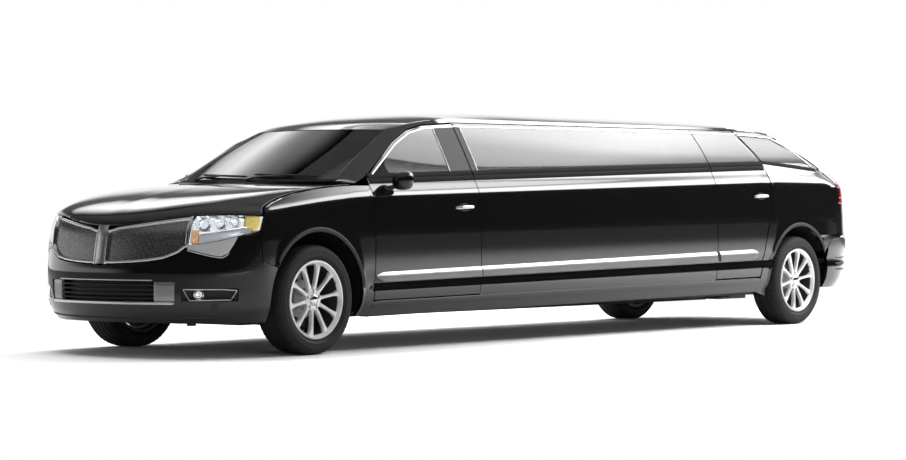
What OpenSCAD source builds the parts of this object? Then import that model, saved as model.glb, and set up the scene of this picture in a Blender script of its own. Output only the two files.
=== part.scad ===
// Stretch limousine on a crossover base: body panels, glass, cabin, running gear and wheels.
// X runs from the nose to the tail, Y to the vehicle's right, Z up; the road is Z = 0.

/* [Overall size] */
// Length over the bumpers
overall_length = 8320; // [8200:10:8500]
// Distance from the nose to the front axle
front_overhang = 1100; // [1080:5:1140]
// Distance from the rear axle to the tail
tail_overhang = 1177; // [1150:1:1200]
// Width of the body without the mirrors
body_width = 1930; // [1910:5:1960]
// Height of the roof crown above the road
body_height = 1700; // [1690:5:1730]

/* [Panels] */
// Gap between a moving panel and its neighbours
panel_gap = 6; // [5:0.5:8]
// Thickness of a door below its window
door_thickness = 110; // [90:5:120]
// Thickness of a window frame
frame_thickness = 40; // [30:1:46]
// Thickness of fenders, hood and bumper covers
skin_thickness = 28; // [22:1:32]
// Thickness of the side glass
glass_thickness = 6; // [4:0.5:8]
// Seat clearance between pieces that rest on each other
seat_gap = 0.3; // [0.2:0.05:0.5]

/* [Wheels] */
// Outside diameter of the tyres
tyre_diameter = 740; // [720:5:750]
// Width of the tyres
tyre_width = 255; // [240:5:265]
// Diameter of the rims at the bead seat
rim_diameter = 508; // [490:1:515]
// Distance from the body side to the wheel centre planes
wheel_inset = 135; // [130:1:145]
// Radius of the wheel arch openings
arch_radius = 455; // [450:1:462]
// Spokes of each wheel
spoke_count = 10; // [8:1:12]
// Radius of the wheel spindles
spindle_r = 30; // [26:1:34]
// Radius of the brake discs
disc_r = 130; // [120:1:134]

/* [Cabin] */
// Height of the cabin floor above the road
floor_z = 300; // [290:5:320]
// Width of a front seat
seat_width = 500; // [460:10:540]
// Diameter of the steering wheel
steering_wheel_d = 380; // [360:5:400]

/* [Hidden] */

front_axle_x = front_overhang - overall_length / 2;
rear_axle_x = overall_length / 2 - tail_overhang;
axle_z = tyre_diameter / 2;
half_width = body_width / 2;
track = body_width - 2 * wheel_inset;
// Sizes that the tables below are written for
table_tail = 1177;
table_height = 1700;
shoulder_z = 900;

paint = [0.02, 0.02, 0.025];
trim_black = [0.05, 0.05, 0.05];
bright = [0.8, 0.8, 0.82];
tinted = [0.15, 0.17, 0.18, 0.6];
lamp_clear = [0.85, 0.87, 0.9, 0.7];
lamp_red = [0.5, 0.03, 0.03, 0.8];
leather = [0.12, 0.11, 0.1];
rubber = [0.03, 0.03, 0.03];
steel = [0.4, 0.4, 0.42];

// Places measured back from the front axle, and from the rear axle
function fx(d) = front_axle_x + d;
function behind(d) = d > 0 ? d * tail_overhang / table_tail : d;
function rx(d) = rear_axle_x + behind(d);
function mix(a, b, t) = a + (b - a) * t;
// Heights above the shoulder follow the height of the roof
function rise(z) = z <= shoulder_z ? z
  : mix(shoulder_z, body_height, (z - shoulder_z) / (table_height - shoulder_z));
function rise_rows(rows) = [for (p = rows) concat([rise(p[0])], [for (i = [1 : len(p) - 1]) p[i]])];
function clamp01(t) = min(1, max(0, t));
function spread(a, b, n) = [for (i = [0 : n]) mix(a, b, i / n)];

// Lines that run along the body side, from the sill to the drip edge of the roof.
// Columns: height at the front doors, height at the rear doors, inset from the widest point, drop at the nose
side_lines = [
  [235, 285, 80, 0],
  [330, 385, 24, 0],
  [415, 490, 9, 0],
  [470, 548, 20, 0],
  [515, 610, 4, 0],
  [555, 655, 2, 0],
  [680, 760, 0, 0],
  [800, 880, 0, 40],
  [930, 1020, 6, 120],
  [1045, 1160, 16, 170],
  [1150, 1285, 66, 190],
  [1215, 1365, 98, 190],
  [1550, 1590, 265, 190],
  [1625, 1640, 310, 190]];
SILL = 0;
BELT = 10;
WINDOW_LOW = 11;
WINDOW_TOP = 12;
DRIP = 13;
// Rows between those lines: top of the sill beam, low edge of the doors, low edge of the glass, roof edge
rocker_top = 1.15;
door_low = 1.27;
glass_low = 10.6;
door_top = 12.48;
cant_rail = 12.6;

line_front_x = fx(550);
line_rear_x = rx(-543);
nose_drop_length = 1650;
function line_z(k, x) =
  let (t = clamp01((x - line_front_x) / (line_rear_x - line_front_x)),
       u = clamp01((line_front_x - x) / nose_drop_length))
  rise(mix(side_lines[k][0], side_lines[k][1], t) - side_lines[k][3] * pow(u, 1.3));
function line_at(x, k) =
  let (a = min(floor(k), DRIP - 1)) mix(line_z(a, x), line_z(a + 1, x), k - a);
function straight_w(x, z) =
  lookup(z, [for (k = [0 : DRIP]) [line_z(k, x), half_width - side_lines[k][2]]]);

// Side view of the nose and the tail on the centre line: height, distance in from the end
nose_line = rise_rows([[200, 100], [300, 25], [420, 0], [560, 0], [640, 15], [760, 35], [850, 55],
  [900, 90], [950, 155], [1040, 300]]);
tail_line = rise_rows([[280, 157], [340, 87], [450, 37], [600, 0], [720, 7], [760, 50], [1000, 80],
  [1150, 115], [1250, 167], [1400, 377], [1500, 577], [1600, 827], [1700, 1077]]);
// Where the tail starts to round in: height, place behind the rear axle
tail_round = rise_rows([[1150, 500], [1400, 100], [1640, -300]]);
nose_round_x = fx(-450);
nose_power = 2;
tail_power = 2.6;
function nose_x(z) = fx(lookup(z, nose_line) - front_overhang);
function tail_x(z) = rx(table_tail - lookup(z, tail_line));
function tail_round_x(z) = rx(lookup(z, tail_round));
function rounded(t, power) = pow(max(0, 1 - pow(clamp01(t), power)), 1 / power);

// Half width of the body at a place on its side, and the tail's surface at a distance from the centre line
function side_w(x, z) = straight_w(x, z)
  * (x < nose_round_x ? rounded((nose_round_x - x) / (nose_round_x - nose_x(z)), nose_power) : 1)
  * (x > tail_round_x(z) ? rounded((x - tail_round_x(z)) / (tail_x(z) - tail_round_x(z)), tail_power) : 1);
function tail_at(y, z) = tail_round_x(z)
  + (tail_x(z) - tail_round_x(z)) * rounded(abs(y) / straight_w(tail_round_x(z), z), tail_power);
function side_point(x, z, inset) = [x, inset - side_w(x, z), z];

// Surfaces of the nose and the tail at an angle around the end, moved in by an inset
function nose_point(a, z, inset) =
  let (w = straight_w(nose_round_x, z))
  [nose_round_x - (nose_round_x - nose_x(z) - inset) * cos(a), (w - inset) * sin(a), z];
function tail_point(a, z, inset) =
  let (w = straight_w(tail_round_x(z), z) - inset, e = 2 / tail_power)
  [tail_round_x(z) + (tail_x(z) - tail_round_x(z) - inset) * pow(max(0, cos(a)), e),
    w * sign(a) * pow(abs(sin(a)), e), z];

// Closed shell between an outer and an inner grid of points, with rectangular holes of grid cells
module shell(outer, inner, holes = []) {
  rows = len(outer) - 1;
  cols = len(outer[0]) - 1;
  back = (rows + 1) * (cols + 1);
  function cut(i, j) = len([for (h = holes) if (i >= h[0] && i < h[1] && j >= h[2] && j < h[3]) 1]) > 0;
  function there(i, j) = i >= 0 && j >= 0 && i < cols && j < rows && !cut(i, j);
  function at(i, j) = j * (cols + 1) + i;
  function wall(p, q) = [[q, p, p + back], [q, p + back, q + back]];
  faces = [for (j = [0 : rows - 1]) for (i = [0 : cols - 1]) if (!cut(i, j))
    let (a = at(i, j), b = at(i, j + 1), c = at(i + 1, j + 1), d = at(i + 1, j))
    each concat([[a, b, c], [a, c, d],
        [a + back, c + back, b + back], [a + back, d + back, c + back]],
      there(i - 1, j) ? [] : wall(a, b), there(i, j + 1) ? [] : wall(b, c),
      there(i + 1, j) ? [] : wall(c, d), there(i, j - 1) ? [] : wall(d, a))];
  polyhedron(points = concat([for (r = outer) each r], [for (r = inner) each r]), faces = faces);
}

// Panel of the left body side over a grid of [x, z] places, with an inset and a thickness for each row.
// Taper scales the thickness of each column, and undercut moves each column's inner points along the body.
module side_panel(places, insets, thicknesses, holes = [], taper = undef, undercut = undef) {
  function thick(j, i) = thicknesses[j] * (taper == undef ? 1 : taper[i]);
  function shift(i) = undercut == undef ? 0 : undercut[i];
  shell([for (j = [0 : len(places) - 1]) [for (p = places[j]) side_point(p[0], p[1], insets[j])]],
    [for (j = [0 : len(places) - 1]) [for (i = [0 : len(places[j]) - 1])
      side_point(places[j][i][0], places[j][i][1], insets[j] + thick(j, i)) + [shift(i), 0, 0]]], holes);
}
// Row of places along a line, kept a clearance below the roof edge
function line_row(k, xs, clear = 0) = [for (x = xs) [x, min(line_at(x, k), cant_z(x) - clear)]];

// A left piece and its mirror image
module both_sides() {
  children();
  mirror([0, 1, 0]) children();
}

// Panels with a window: the frame around the glass is recessed for it
glass_recess = glass_thickness + 3 * seat_gap;
lower_rows = [2, 3, 4, 5, 6, 7, 8, 9, 10, glass_low];
upper_rows = [glass_low + 0.03, WINDOW_LOW, WINDOW_TOP];
function row_inset(k) = k > glass_low ? glass_recess : 0;
function row_thickness(k) = k > BELT ? frame_thickness : door_thickness;
module window_panel(rows, xs_of_row, undercut = undef, clear = 0) {
  places = [for (k = rows) line_row(k, xs_of_row(k), clear)];
  low = search(WINDOW_LOW, rows)[0];
  side_panel(places, [for (k = rows) row_inset(k)], [for (k = rows) row_thickness(k)],
    [[1, len(places[0]) - 2, low, low + 1]], undef, undercut);
}
// Glass that lies flush in that recess
module flush_glass(rows, xs_of_row, clear = 0) {
  places = [for (k = rows) line_row(k, xs_of_row(k), clear)];
  side_panel(places, [for (k = rows) seat_gap], [for (k = rows) glass_thickness]);
}

// Front pillar, edge of the door opening: place behind the front axle, height
pillar_edge = [for (p = [[430, 1152], [480, 1165], [600, 1215], [800, 1335], [1000, 1455], [1200, 1540],
  [1400, 1580]]) [p[0], rise(p[1])]];
// Roof edge over the rear pillar: place behind the rear axle, height
rear_cant = [for (p = [[-400, 1620], [-150, 1608], [0, 1596], [190, 1578]]) [rx(p[0]), rise(p[1])]];
roof_front_x = fx(1750);
function pillar_x(z) = fx(lookup(z, [for (p = pillar_edge) [p[1], p[0]]]));
function cant_z(x) = x < roof_front_x
  ? lookup(x, concat([for (p = pillar_edge) [fx(p[0]), p[1]]],
      [[roof_front_x, line_at(roof_front_x, cant_rail)]]))
  : x > rear_cant[0][0] ? lookup(x, rear_cant) : line_at(x, cant_rail);

// Doors
front_door_x = fx(585);
front_shut_x = fx(1745);
rear_door_x = rx(-1240);
front_window_rear_x = fx(1490);
pillar_width = 60;
door_undercut = 26;
// Clearances below the roof edge, of a door and of its glass
door_clear = 13;
glass_clear = 19;
door_rows = concat([door_low], lower_rows, upper_rows, [door_top]);
function front_edge(k) = k <= BELT ? front_door_x
  : max(front_door_x, pillar_x(line_at(fx(1000), k)) + 3 * panel_gap);
function front_door_xs(k) =
  let (x0 = front_edge(k), w0 = min(x0 + pillar_width, front_window_rear_x - pillar_width))
  concat([x0], spread(w0, front_window_rear_x, 4), [front_shut_x - panel_gap]);
// Rear edge of the rear door, up the arch and then along the rear pillar: height, place behind the rear axle
rear_door_edge = rise_rows([[400, -580], [550, -550], [750, -500], [950, -430], [1150, -410], [1300, -430],
  [1370, -470], [1600, -600]]);
rear_window_inset = 70;
rear_shut_gap = 12;
function rear_edge_x(z) = rx(lookup(z, rear_door_edge));
function rear_edge(k) = rear_edge_x(line_at(rear_axle_x, k)) - rear_shut_gap;
function rear_door_xs(k) = let (x1 = rear_edge(k))
  concat([rear_door_x], spread(rear_door_x + pillar_width, x1 - rear_window_inset, 4), [x1]);
door_undercuts = [0, 0, 0, 0, 0, 0, -door_undercut];

// Bar handle that stands on the door skin
handle_size = [190, 16, 30];
handle_stand = 26;
handle_foot = 30;
module door_handle(x, z) {
  translate([x, -side_w(x, z) - handle_stand - handle_size[1], z]) {
    translate([0, 0, -handle_size[2] / 2]) cube(handle_size);
    for (d = [0, handle_size[0] - handle_foot]) translate([d, 1, -handle_size[2] / 3])
      cube([handle_foot, handle_size[1] + handle_stand + skin_thickness, handle_size[2] * 2 / 3]);
  }
}
front_handle = [fx(1385), rise(985)];
rear_handle = [rx(-660), rise(1075)];
module front_door_shape() {
  window_panel(door_rows, function (k) front_door_xs(k), door_undercuts, door_clear);
  door_handle(front_handle[0], front_handle[1]);
}
module rear_door_shape() {
  window_panel(door_rows, function (k) rear_door_xs(k), door_undercuts);
  door_handle(rear_handle[0], rear_handle[1]);
}
module front_door_left() { color(paint) front_door_shape(); }
module front_door_right() { color(paint) mirror([0, 1, 0]) front_door_shape(); }
module rear_door_left() { color(paint) rear_door_shape(); }
module rear_door_right() { color(paint) mirror([0, 1, 0]) rear_door_shape(); }

glass_rows = [glass_low + 0.08, WINDOW_LOW, WINDOW_TOP, door_top - 0.08];
glass_overlap = 30;
module front_glass_shape() {
  flush_glass(glass_rows, function (k)
    spread(min(front_edge(k) + 20, front_window_rear_x - 80), front_window_rear_x + glass_overlap, 5),
    glass_clear);
}
module rear_glass_shape() {
  flush_glass(glass_rows, function (k)
    let (xs = rear_door_xs(k)) concat([xs[0] + 3], [for (i = [1 : 5]) xs[i]], [xs[6] - glass_overlap]));
}
module front_glass_left() { color(tinted) front_glass_shape(); }
module front_glass_right() { color(tinted) mirror([0, 1, 0]) front_glass_shape(); }
module rear_glass_left() { color(tinted) rear_glass_shape(); }
module rear_glass_right() { color(tinted) mirror([0, 1, 0]) rear_glass_shape(); }

// Hinge leaves on the fixed edge ahead of a door, reaching its front face
leaf_heights = [520, 880];
leaf_size = [40, 18, 60];
module hinge_leaves(edge_x, door_x) {
  for (z = leaf_heights) translate([edge_x - leaf_size[0], 6 - side_w(edge_x, z), z])
    cube([leaf_size[0] + door_x - edge_x - seat_gap, leaf_size[1], leaf_size[2]]);
}

// Fixed side between the doors, with the long window
stretch_end_x = rear_door_x - panel_gap;
// Seat clearances of its ends, as shares of a row
stretch_low = rocker_top + 0.004;
stretch_top = cant_rail - 0.006;
stretch_xs = concat([front_shut_x], spread(front_shut_x + pillar_width, stretch_end_x - pillar_width, 6),
  [stretch_end_x]);
module stretch_panel() {
  window_panel(concat([stretch_low], lower_rows, upper_rows, [stretch_top]), function (k) stretch_xs);
  hinge_leaves(stretch_end_x, rear_door_x);
}
module stretch_panels() { color(paint) both_sides() stretch_panel(); }
module long_glass() {
  flush_glass([glass_low + 0.08, WINDOW_LOW, WINDOW_TOP, cant_rail - 0.1], function (k)
    concat([front_shut_x + 15], [for (i = [1 : len(stretch_xs) - 2]) stretch_xs[i]], [stretch_end_x - 3]));
}

// Sill beam below the doors, from the front fender to the rear arch
rocker_inner_y = half_width - 150;
fender_rear = 578;
rocker_end = -arch_radius - 120;
module rocker() {
  xs = spread(fx(fender_rear) + seat_gap, rx(rocker_end), 4);
  rows = [SILL, 0.5, 1, rocker_top];
  shell([for (k = rows) [for (p = line_row(k, xs)) side_point(p[0], p[1], 0)]],
    [for (k = rows) [for (p = line_row(k, xs)) [p[0], -rocker_inner_y, p[1]]]]);
}
module rockers() { color(paint) both_sides() rocker(); }

// Hood: rows from the nose to the cowl, columns around the nose.
// Share of the hood's length, share of its rise
hood_rise = [[0, 0], [0.022, 0.137], [0.073, 0.313], [0.186, 0.514], [0.343, 0.683], [0.515, 0.803],
  [0.7, 0.894], [1, 1]];
// Front edge of the hood above grille and lamps: angle from the centre line, height
hood_front = [for (p = [[0, 872], [8, 873], [16, 890], [24, 908], [31, 922], [37, 934], [43, 941], [58, 946],
  [72, 945], [82, 938]]) [p[0], rise(p[1])]];
hood_corner = 81;
hood_angles = [-hood_corner, -70, -57, -43, -28, -14, 0, 14, 28, 43, 57, 70, hood_corner];
cowl_bow = 190;
cowl_w = half_width - 168;
cowl_power = 2.4;
cowl_x = fx(430);
hood_gap = 2 * panel_gap;
hood_edge_inset = skin_thickness + 1.5 * panel_gap;
hood_lip = 5;
hood_edge_taper = 0.011;
function cowl_edge(y) = cowl_x - cowl_bow * (1 - pow(min(1, abs(y) / cowl_w), cowl_power));
hood_rear_w = side_w(cowl_x, line_z(BELT, cowl_x)) - hood_edge_inset;
hood_rear_z = line_z(BELT, cowl_x) - 2;
hood_crown_z = rise(1152);
function hood_start(a) = nose_point(a, lookup(abs(a), hood_front), 0);
function hood_end(a) =
  let (t = sin(a) / sin(hood_corner), y = t * hood_rear_w)
  [cowl_edge(y) - hood_gap, y, mix(hood_crown_z, hood_rear_z, t * t)];
function hood_edge_w(x, z, s) =
  mix(abs(hood_start(hood_corner)[1]), side_w(x, z) - hood_edge_inset, clamp01(s / 0.06));
function hood_point(a, s, drop) =
  let (f = hood_start(a), r = hood_end(a), x = mix(f[0], r[0], s), z = mix(f[2], r[2], lookup(s, hood_rise)),
       edge = hood_edge_w(x, z, s), t = sin(a) / sin(hood_corner),
       y = abs(t) > 0.999 ? t * edge : mix(f[1], r[1], s), thin = s == 0 ? min(drop, hood_lip) : drop)
  [x, y * (1 - hood_edge_taper * drop / skin_thickness), z - thin];
function hood_edge_z(x) =
  let (f = hood_start(hood_corner), r = hood_end(hood_corner))
  mix(f[2], r[2], lookup((x - f[0]) / (r[0] - f[0]), hood_rise));
module hood() {
  shares = [for (p = hood_rise) p[0]];
  color(paint) shell([for (a = hood_angles) [for (s = shares) hood_point(a, s, 0)]],
    [for (a = hood_angles) [for (s = shares) hood_point(a, s, skin_thickness)]]);
}

// Arch panel: columns fan out from the wheel arch to an outer path.
// Path columns: angle on the arch, place behind the axle, height, number of columns to the next point
arch_rows = [0, 0.06, 0.28, 0.52, 0.76, 1];
arch_flare = [-8, -8, 0, 0, 0, 0];
function fan(path) = concat([for (s = [0 : len(path) - 2]) for (i = [0 : path[s][3] - 1])
    [for (c = [0 : 2]) mix(path[s][c], path[s + 1][c], i / path[s][3])]], [path[len(path) - 1]]);
module arch_panel(path, axle_x, taper_of = undef) {
  full = fan(path);
  function place(r, p) = [axle_x + mix(arch_radius * cos(p[0]), p[1], r),
    mix(axle_z + arch_radius * sin(p[0]), p[2], r)];
  places = [for (r = arch_rows) [for (p = full) place(r, p)]];
  function thin(x) = taper_of == undef ? 1 : taper_of(x);
  shell([for (j = [0 : len(arch_rows) - 1]) [for (p = places[j]) side_point(p[0], p[1], arch_flare[j])]],
    [for (j = [0 : len(arch_rows) - 1]) [for (p = places[j])
      side_point(p[0], p[1], arch_flare[j] + skin_thickness * thin(p[0]))]]);
}
// Height of the seam between the front cover and the fender
seam_z = 634;
fender_tops = [-470, -400, -300, -150, 50, 250, 430];
module front_fender() {
  function ahead(a, z, gap) = nose_point(a, z, 0)[0] + gap - front_axle_x;
  arch_panel(concat([[150, ahead(82, seam_z, 8.5), seam_z, 2], [143, ahead(80.8, 826, 5.5), 826, 2],
      [138, ahead(82.5, rise(924), 9), rise(924), 1]],
    [for (d = fender_tops) [mix(134, 60, (d + 470) / 900), d, hood_edge_z(fx(d)) - panel_gap, 2]],
    [[50, fender_rear, line_z(BELT, fx(fender_rear)) - 14, 5], [-15.5, fender_rear, 245, 0]]), front_axle_x);
  hinge_leaves(fx(fender_rear), front_door_x);
}
module front_fenders() { color(paint) both_sides() front_fender(); }

// Rear quarter between the door, the belt, the tail lamp and the bumper
lamp_notch = 645;
lamp_low_z = rise(1015);
gate_corner = 805;
quarter_top_z = rise(1331);
gate_corner_z = rise(1236);
bumper_top_z = 735;
gate_top_z = rise(1585);
// Side edge of the liftgate opening: height, place behind the rear axle
gate_edge = rise_rows([[740, 1010], [1000, 985], [1150, 930], [1250, 810], [1300, 710], [1400, 520],
  [1500, 340], [1600, 150]]);
// Columns of the liftgate, as shares of its half width
gate_steps = [-1, -0.86, -0.6, -0.3, 0, 0.3, 0.6, 0.86, 1];
function gate_edge_x(z) = rx(lookup(z, gate_edge));
function pillar_base_z(x) = mix(quarter_top_z, gate_corner_z, (x - rx(-447)) / (rx(gate_corner) - rx(-447)));
// Panels grow thinner towards the liftgate
function gate_taper(x) = mix(1, 0.3, clamp01((x - rx(600)) / 300));
quarter_front = rise_rows([[550, 178], [750, 160], [950, 145], [1150, 135], [1300, 128]]);
module quarter_panel() {
  arch_panel(concat([[195, rocker_end + seat_gap, 288, 1], [187, rocker_end + seat_gap, 408, 2]],
    [for (p = quarter_front) [p[1], lookup(p[0], rear_door_edge), p[0], p[0] > 900 ? 1 : 2]],
    [[124, rear_edge_x(quarter_top_z) - rear_axle_x, quarter_top_z - seat_gap, 6],
      [80, behind(lamp_notch), pillar_base_z(rx(lamp_notch)) - seat_gap, 2],
      [72, behind(lamp_notch), lamp_low_z, 5],
      [64, behind(lookup(lamp_low_z, gate_edge)) - 2 * panel_gap, lamp_low_z, 3],
      [56, behind(lookup(bumper_top_z, gate_edge)) - 2 * panel_gap, bumper_top_z + panel_gap, 3],
      [52, behind(735), bumper_top_z + panel_gap, 2], [40, behind(500) - panel_gap, 700 + panel_gap, 1],
      [30, behind(460) - panel_gap, 652, 0]]), rear_axle_x,
    function (x) gate_taper(x));
}
module quarter_panels() { color(paint) both_sides() quarter_panel(); }

// Rear pillar above the belt, with the quarter window
pillar_cols = [0, 0.07, 0.25, 0.42, 0.58, 0.8, 1];
pillar_rows = [0, 0.08, 0.12, 0.3, 0.48, 0.66, 0.85, 1];
pillar_taper = [1, 1, 1, 1, 1, 0.7, 0.2];
pillar_top_gap = 4;
pillar_top_x = [rear_edge_x(rise(1600)), gate_edge_x(gate_top_z) - 2 * panel_gap];
pillar_low_x = [rear_edge_x(quarter_top_z), rx(gate_corner - 2 * panel_gap)];
function pillar_z(c, r) = mix(pillar_base_z(mix(pillar_low_x[0], pillar_low_x[1], c)),
  cant_z(mix(pillar_top_x[0], pillar_top_x[1], c)) - pillar_top_gap, r);
function pillar_place(c, r) =
  [mix(rear_edge_x(pillar_z(0, r)), gate_edge_x(pillar_z(1, r)) - 2 * panel_gap, c), pillar_z(c, r)];
module rear_pillar() {
  side_panel([for (r = pillar_rows) [for (c = pillar_cols) pillar_place(c, r)]],
    [for (r = pillar_rows) r > 0.1 && r < 1 ? glass_recess : 0], [for (r = pillar_rows) frame_thickness],
    [[1, 4, 2, 6]], pillar_taper);
}
module rear_pillars() { color(paint) both_sides() rear_pillar(); }
module quarter_glass() {
  rows = [0.125, 0.3, 0.48, 0.66, 0.84];
  cols = [0.02, 0.07, 0.25, 0.42, 0.58, 0.64];
  side_panel([for (r = rows) [for (c = cols) pillar_place(c, r)]], [for (r = rows) seat_gap],
    [for (r = rows) glass_thickness]);
}
module side_windows() {
  color(tinted) both_sides() {
    long_glass();
    quarter_glass();
  }
}

// Roof with the front pillars: one row of values for each place along the body.
// Columns: x at the edge, set-back of the centre line, half width and height of the drip edge, centre height
drip_w = half_width - 310;
roof_end_w = half_width - 369;
roof_columns = [
  [cowl_x, -cowl_bow, cowl_w, rise(1168), rise(1160)],
  [fx(480), -185, cowl_w - 7, rise(1180), rise(1182)],
  [fx(640), -165, cowl_w - 40, rise(1268), rise(1268)],
  [fx(800), -145, cowl_w - 70, rise(1368), rise(1360)],
  [fx(970), -125, cowl_w - 103, rise(1456), rise(1454)],
  [fx(1137), -105, cowl_w - 135, rise(1534), rise(1544)],
  [fx(1300), -85, drip_w, rise(1580), rise(1595)],
  [fx(1500), -60, drip_w, rise(1607), rise(1635)],
  [roof_front_x, -30, drip_w, line_z(DRIP, roof_front_x), rise(1664)],
  [fx(2150), 0, drip_w, line_z(DRIP, fx(2150)), rise(1688)],
  [fx(2700), 0, drip_w, line_z(DRIP, fx(2700)), body_height],
  [rx(-1900), 0, drip_w, line_z(DRIP, rx(-1900)), body_height],
  [rx(-1000), 0, drip_w, line_z(DRIP, rx(-1000)), rise(1698)],
  [rx(-620), 10, drip_w - 3, line_z(DRIP, rx(-620)), rise(1692)],
  [rx(-350), 60, drip_w - 8, rise(1632), rise(1678)],
  [rx(-150), 120, drip_w - 16, rise(1620), rise(1656)],
  [rx(20), 180, drip_w - 34, rise(1607), rise(1628)],
  [gate_top_x(roof_end_w) - 2 * panel_gap, "tail", roof_end_w, rise(1596), rise(1600)]];
WINDSHIELD_FIRST = 1;
WINDSHIELD_LAST = 5;
pane_edge = 0.9;
roof_steps = [-1, -pane_edge, -0.72, -0.48, -0.24, 0, 0.24, 0.48, 0.72, pane_edge, 1];
roof_thickness = 36;
roof_edge_width = 34;
roof_edge_rise = 2;
roof_end_slope = 0.8;
function roof_point(c, t, drop) =
  let (dome = 1 - pow(abs(t), cowl_power), z = mix(c[3], c[4], dome) - drop)
  [c[1] == "tail" ? gate_top_x(t * c[2]) - 2 * panel_gap - roof_end_slope * drop : c[0] + c[1] * dome,
    t * (c[2] - drop * 0.5), abs(t) < 1 ? z : max(z, cant_z(c[0]) + roof_edge_rise)];
function cant_point(c, side, inset) = let (z = cant_z(c[0]))
  [c[0], side * (min(side_w(c[0], z), c[2] + 110) - inset), z];
function roof_row(drop, inset) = [for (j = [-1 : len(roof_steps)])
  [for (c = roof_columns) j < 0 ? cant_point(c, -1, inset)
    : j == len(roof_steps) ? cant_point(c, 1, inset) : roof_point(c, roof_steps[j], drop)]];
module roof() {
  color(paint) shell(roof_row(0, 0), roof_row(roof_thickness, roof_edge_width),
    [[WINDSHIELD_FIRST, WINDSHIELD_LAST, 2, len(roof_steps) - 1]]);
}
pane_gap = 2 * seat_gap;
pane_sink = 3;
module windshield() {
  cols = [for (i = [WINDSHIELD_FIRST : WINDSHIELD_LAST]) let (c = roof_columns[i])
    concat([c[0] + (i == WINDSHIELD_FIRST ? pane_gap : i == WINDSHIELD_LAST ? -pane_gap : 0)],
      [for (v = [1 : 4]) c[v]])];
  edge = pane_edge - pane_gap / drip_w;
  steps = concat([-edge], [for (j = [2 : len(roof_steps) - 3]) roof_steps[j]], [edge]);
  color(tinted) shell([for (t = steps) [for (c = cols) roof_point(c, t, pane_sink)]],
    [for (t = steps) [for (c = cols) roof_point(c, t, pane_sink + glass_thickness)]]);
}

// Nose: a carrier wall behind the covers, which reach back to it
carrier_inset = 72;
carrier_thickness = 30;
cover_depth = carrier_inset - 0.7;
carrier_rows = [850, 760, 700, 640, 560, side_lines[4][0], side_lines[3][0], 420, 360];
carrier_angles = [-74, -68, -54, -30, -14, 0, 14, 30, 54, 68, 74];
rail_y = 440;
rail_size = [80, 100];
rail_z = 400;
rail_bracket = 55;
// Back of the carrier where the rails meet it
carrier_back = carrier_inset + carrier_thickness;
rail_front_x = nose_point(asin(rail_y / (half_width - carrier_back)), rail_z, carrier_back)[0]
  + rail_bracket - carrier_thickness / 2;
hood_stop_angle = 28;
hood_stop = [60, 40, 50];
module nose_carrier() {
  stop = hood_point(hood_stop_angle, hood_rise[2][0], skin_thickness);
  foot_z = carrier_rows[0] - hood_stop[2] / 2;
  foot = nose_point(hood_stop_angle, foot_z, carrier_back - carrier_thickness / 2)[0];
  rise_of_stop = stop[2] - seat_gap - carrier_rows[0] + hood_stop[2];
  color(trim_black) {
    shell([for (z = carrier_rows) [for (a = carrier_angles) nose_point(a, z, carrier_inset)]],
      [for (z = carrier_rows) [for (a = carrier_angles) nose_point(a, z, carrier_back)]]);
    for (side = [-1, 1]) {
      translate([rail_front_x - rail_bracket, side * rail_y - rail_size[0] / 2, rail_z])
        cube([rail_bracket, rail_size[0], rail_size[1]]);
      translate([0, side > 0 ? stop[1] - hood_stop[1] : -stop[1], carrier_rows[0] - hood_stop[2]]) {
        translate([foot, 0, 0]) cube([stop[0] + hood_stop[0] - foot, hood_stop[1], hood_stop[2]]);
        translate([stop[0], 0, 0]) cube([hood_stop[0], hood_stop[1], rise_of_stop]);
      }
    }
  }
}

// Front cover: columns around the nose from one arch to the other, rows from the top edge down.
// Top edge below grille and lamps: angle from the centre line, height
cover_top = [[0, 606], [22, 624], [30, 640], [37, 676], [41, 718], [43, 730], [50, 742], [58, 765], [66, 790],
  [74, 808], [80.8, 824], [82, seam_z - 4], [100, axle_z + arch_radius / 2 - 7.5]];
cover_angles = [100, 91, 82, 80.8, 74, 68, 54, 40, 37, 30, 22, 14, 7];
// The end columns follow the wheel arch
function cover_point(a, z, inset) =
  let (arch_x = front_axle_x - sqrt(pow(arch_radius, 2) - pow(z - axle_z, 2)),
       x = mix(nose_point(82, z, 0)[0], arch_x, (abs(a) - 82) / 18))
  abs(a) > 90 ? [x, sign(a) * (side_w(x, z) - inset), z] : nose_point(a, z, inset);
intake_z = [370, 505];
fog_z = [378, 462];
cover_low_z = 232;
module front_bumper() {
  n = len(cover_angles);
  angles = concat([for (a = cover_angles) -a], [0], [for (i = [1 : n]) cover_angles[n - i]]);
  function top(a) = lookup(abs(a), cover_top);
  function rows(a) = [top(a), mix(top(a), intake_z[1], 0.3), intake_z[1] + 20, intake_z[1], fog_z[1], fog_z[0],
    intake_z[0], 300, cover_low_z];
  function depth(j, a) = j == 0 && abs(a) < 80 ? cover_depth : skin_thickness;
  last = len(angles) - 1;
  color(paint) shell([for (j = [0 : 8]) [for (a = angles) cover_point(a, rows(a)[j], 0)]],
    [for (j = [0 : 8]) [for (a = angles) cover_point(a, rows(a)[j], depth(j, a))]],
    [[8, last - 8, 3, 6], [5, 7, 4, 5], [last - 7, last - 5, 4, 5]]);
}

// Bars across the low intake
intake_bars = [392, 422, 452, 482];
bar_half_height = 6;
module intake_grille() {
  angles = [-36, -30, -22, -14, -7, 0, 7, 14, 22, 30, 36];
  color(trim_black) for (z = intake_bars)
    shell([for (h = [1, -1]) [for (a = angles) nose_point(a, z + h * bar_half_height, 10)]],
      [for (h = [1, -1]) [for (a = angles) nose_point(a, z + h * bar_half_height, cover_depth)]]);
}

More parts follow.
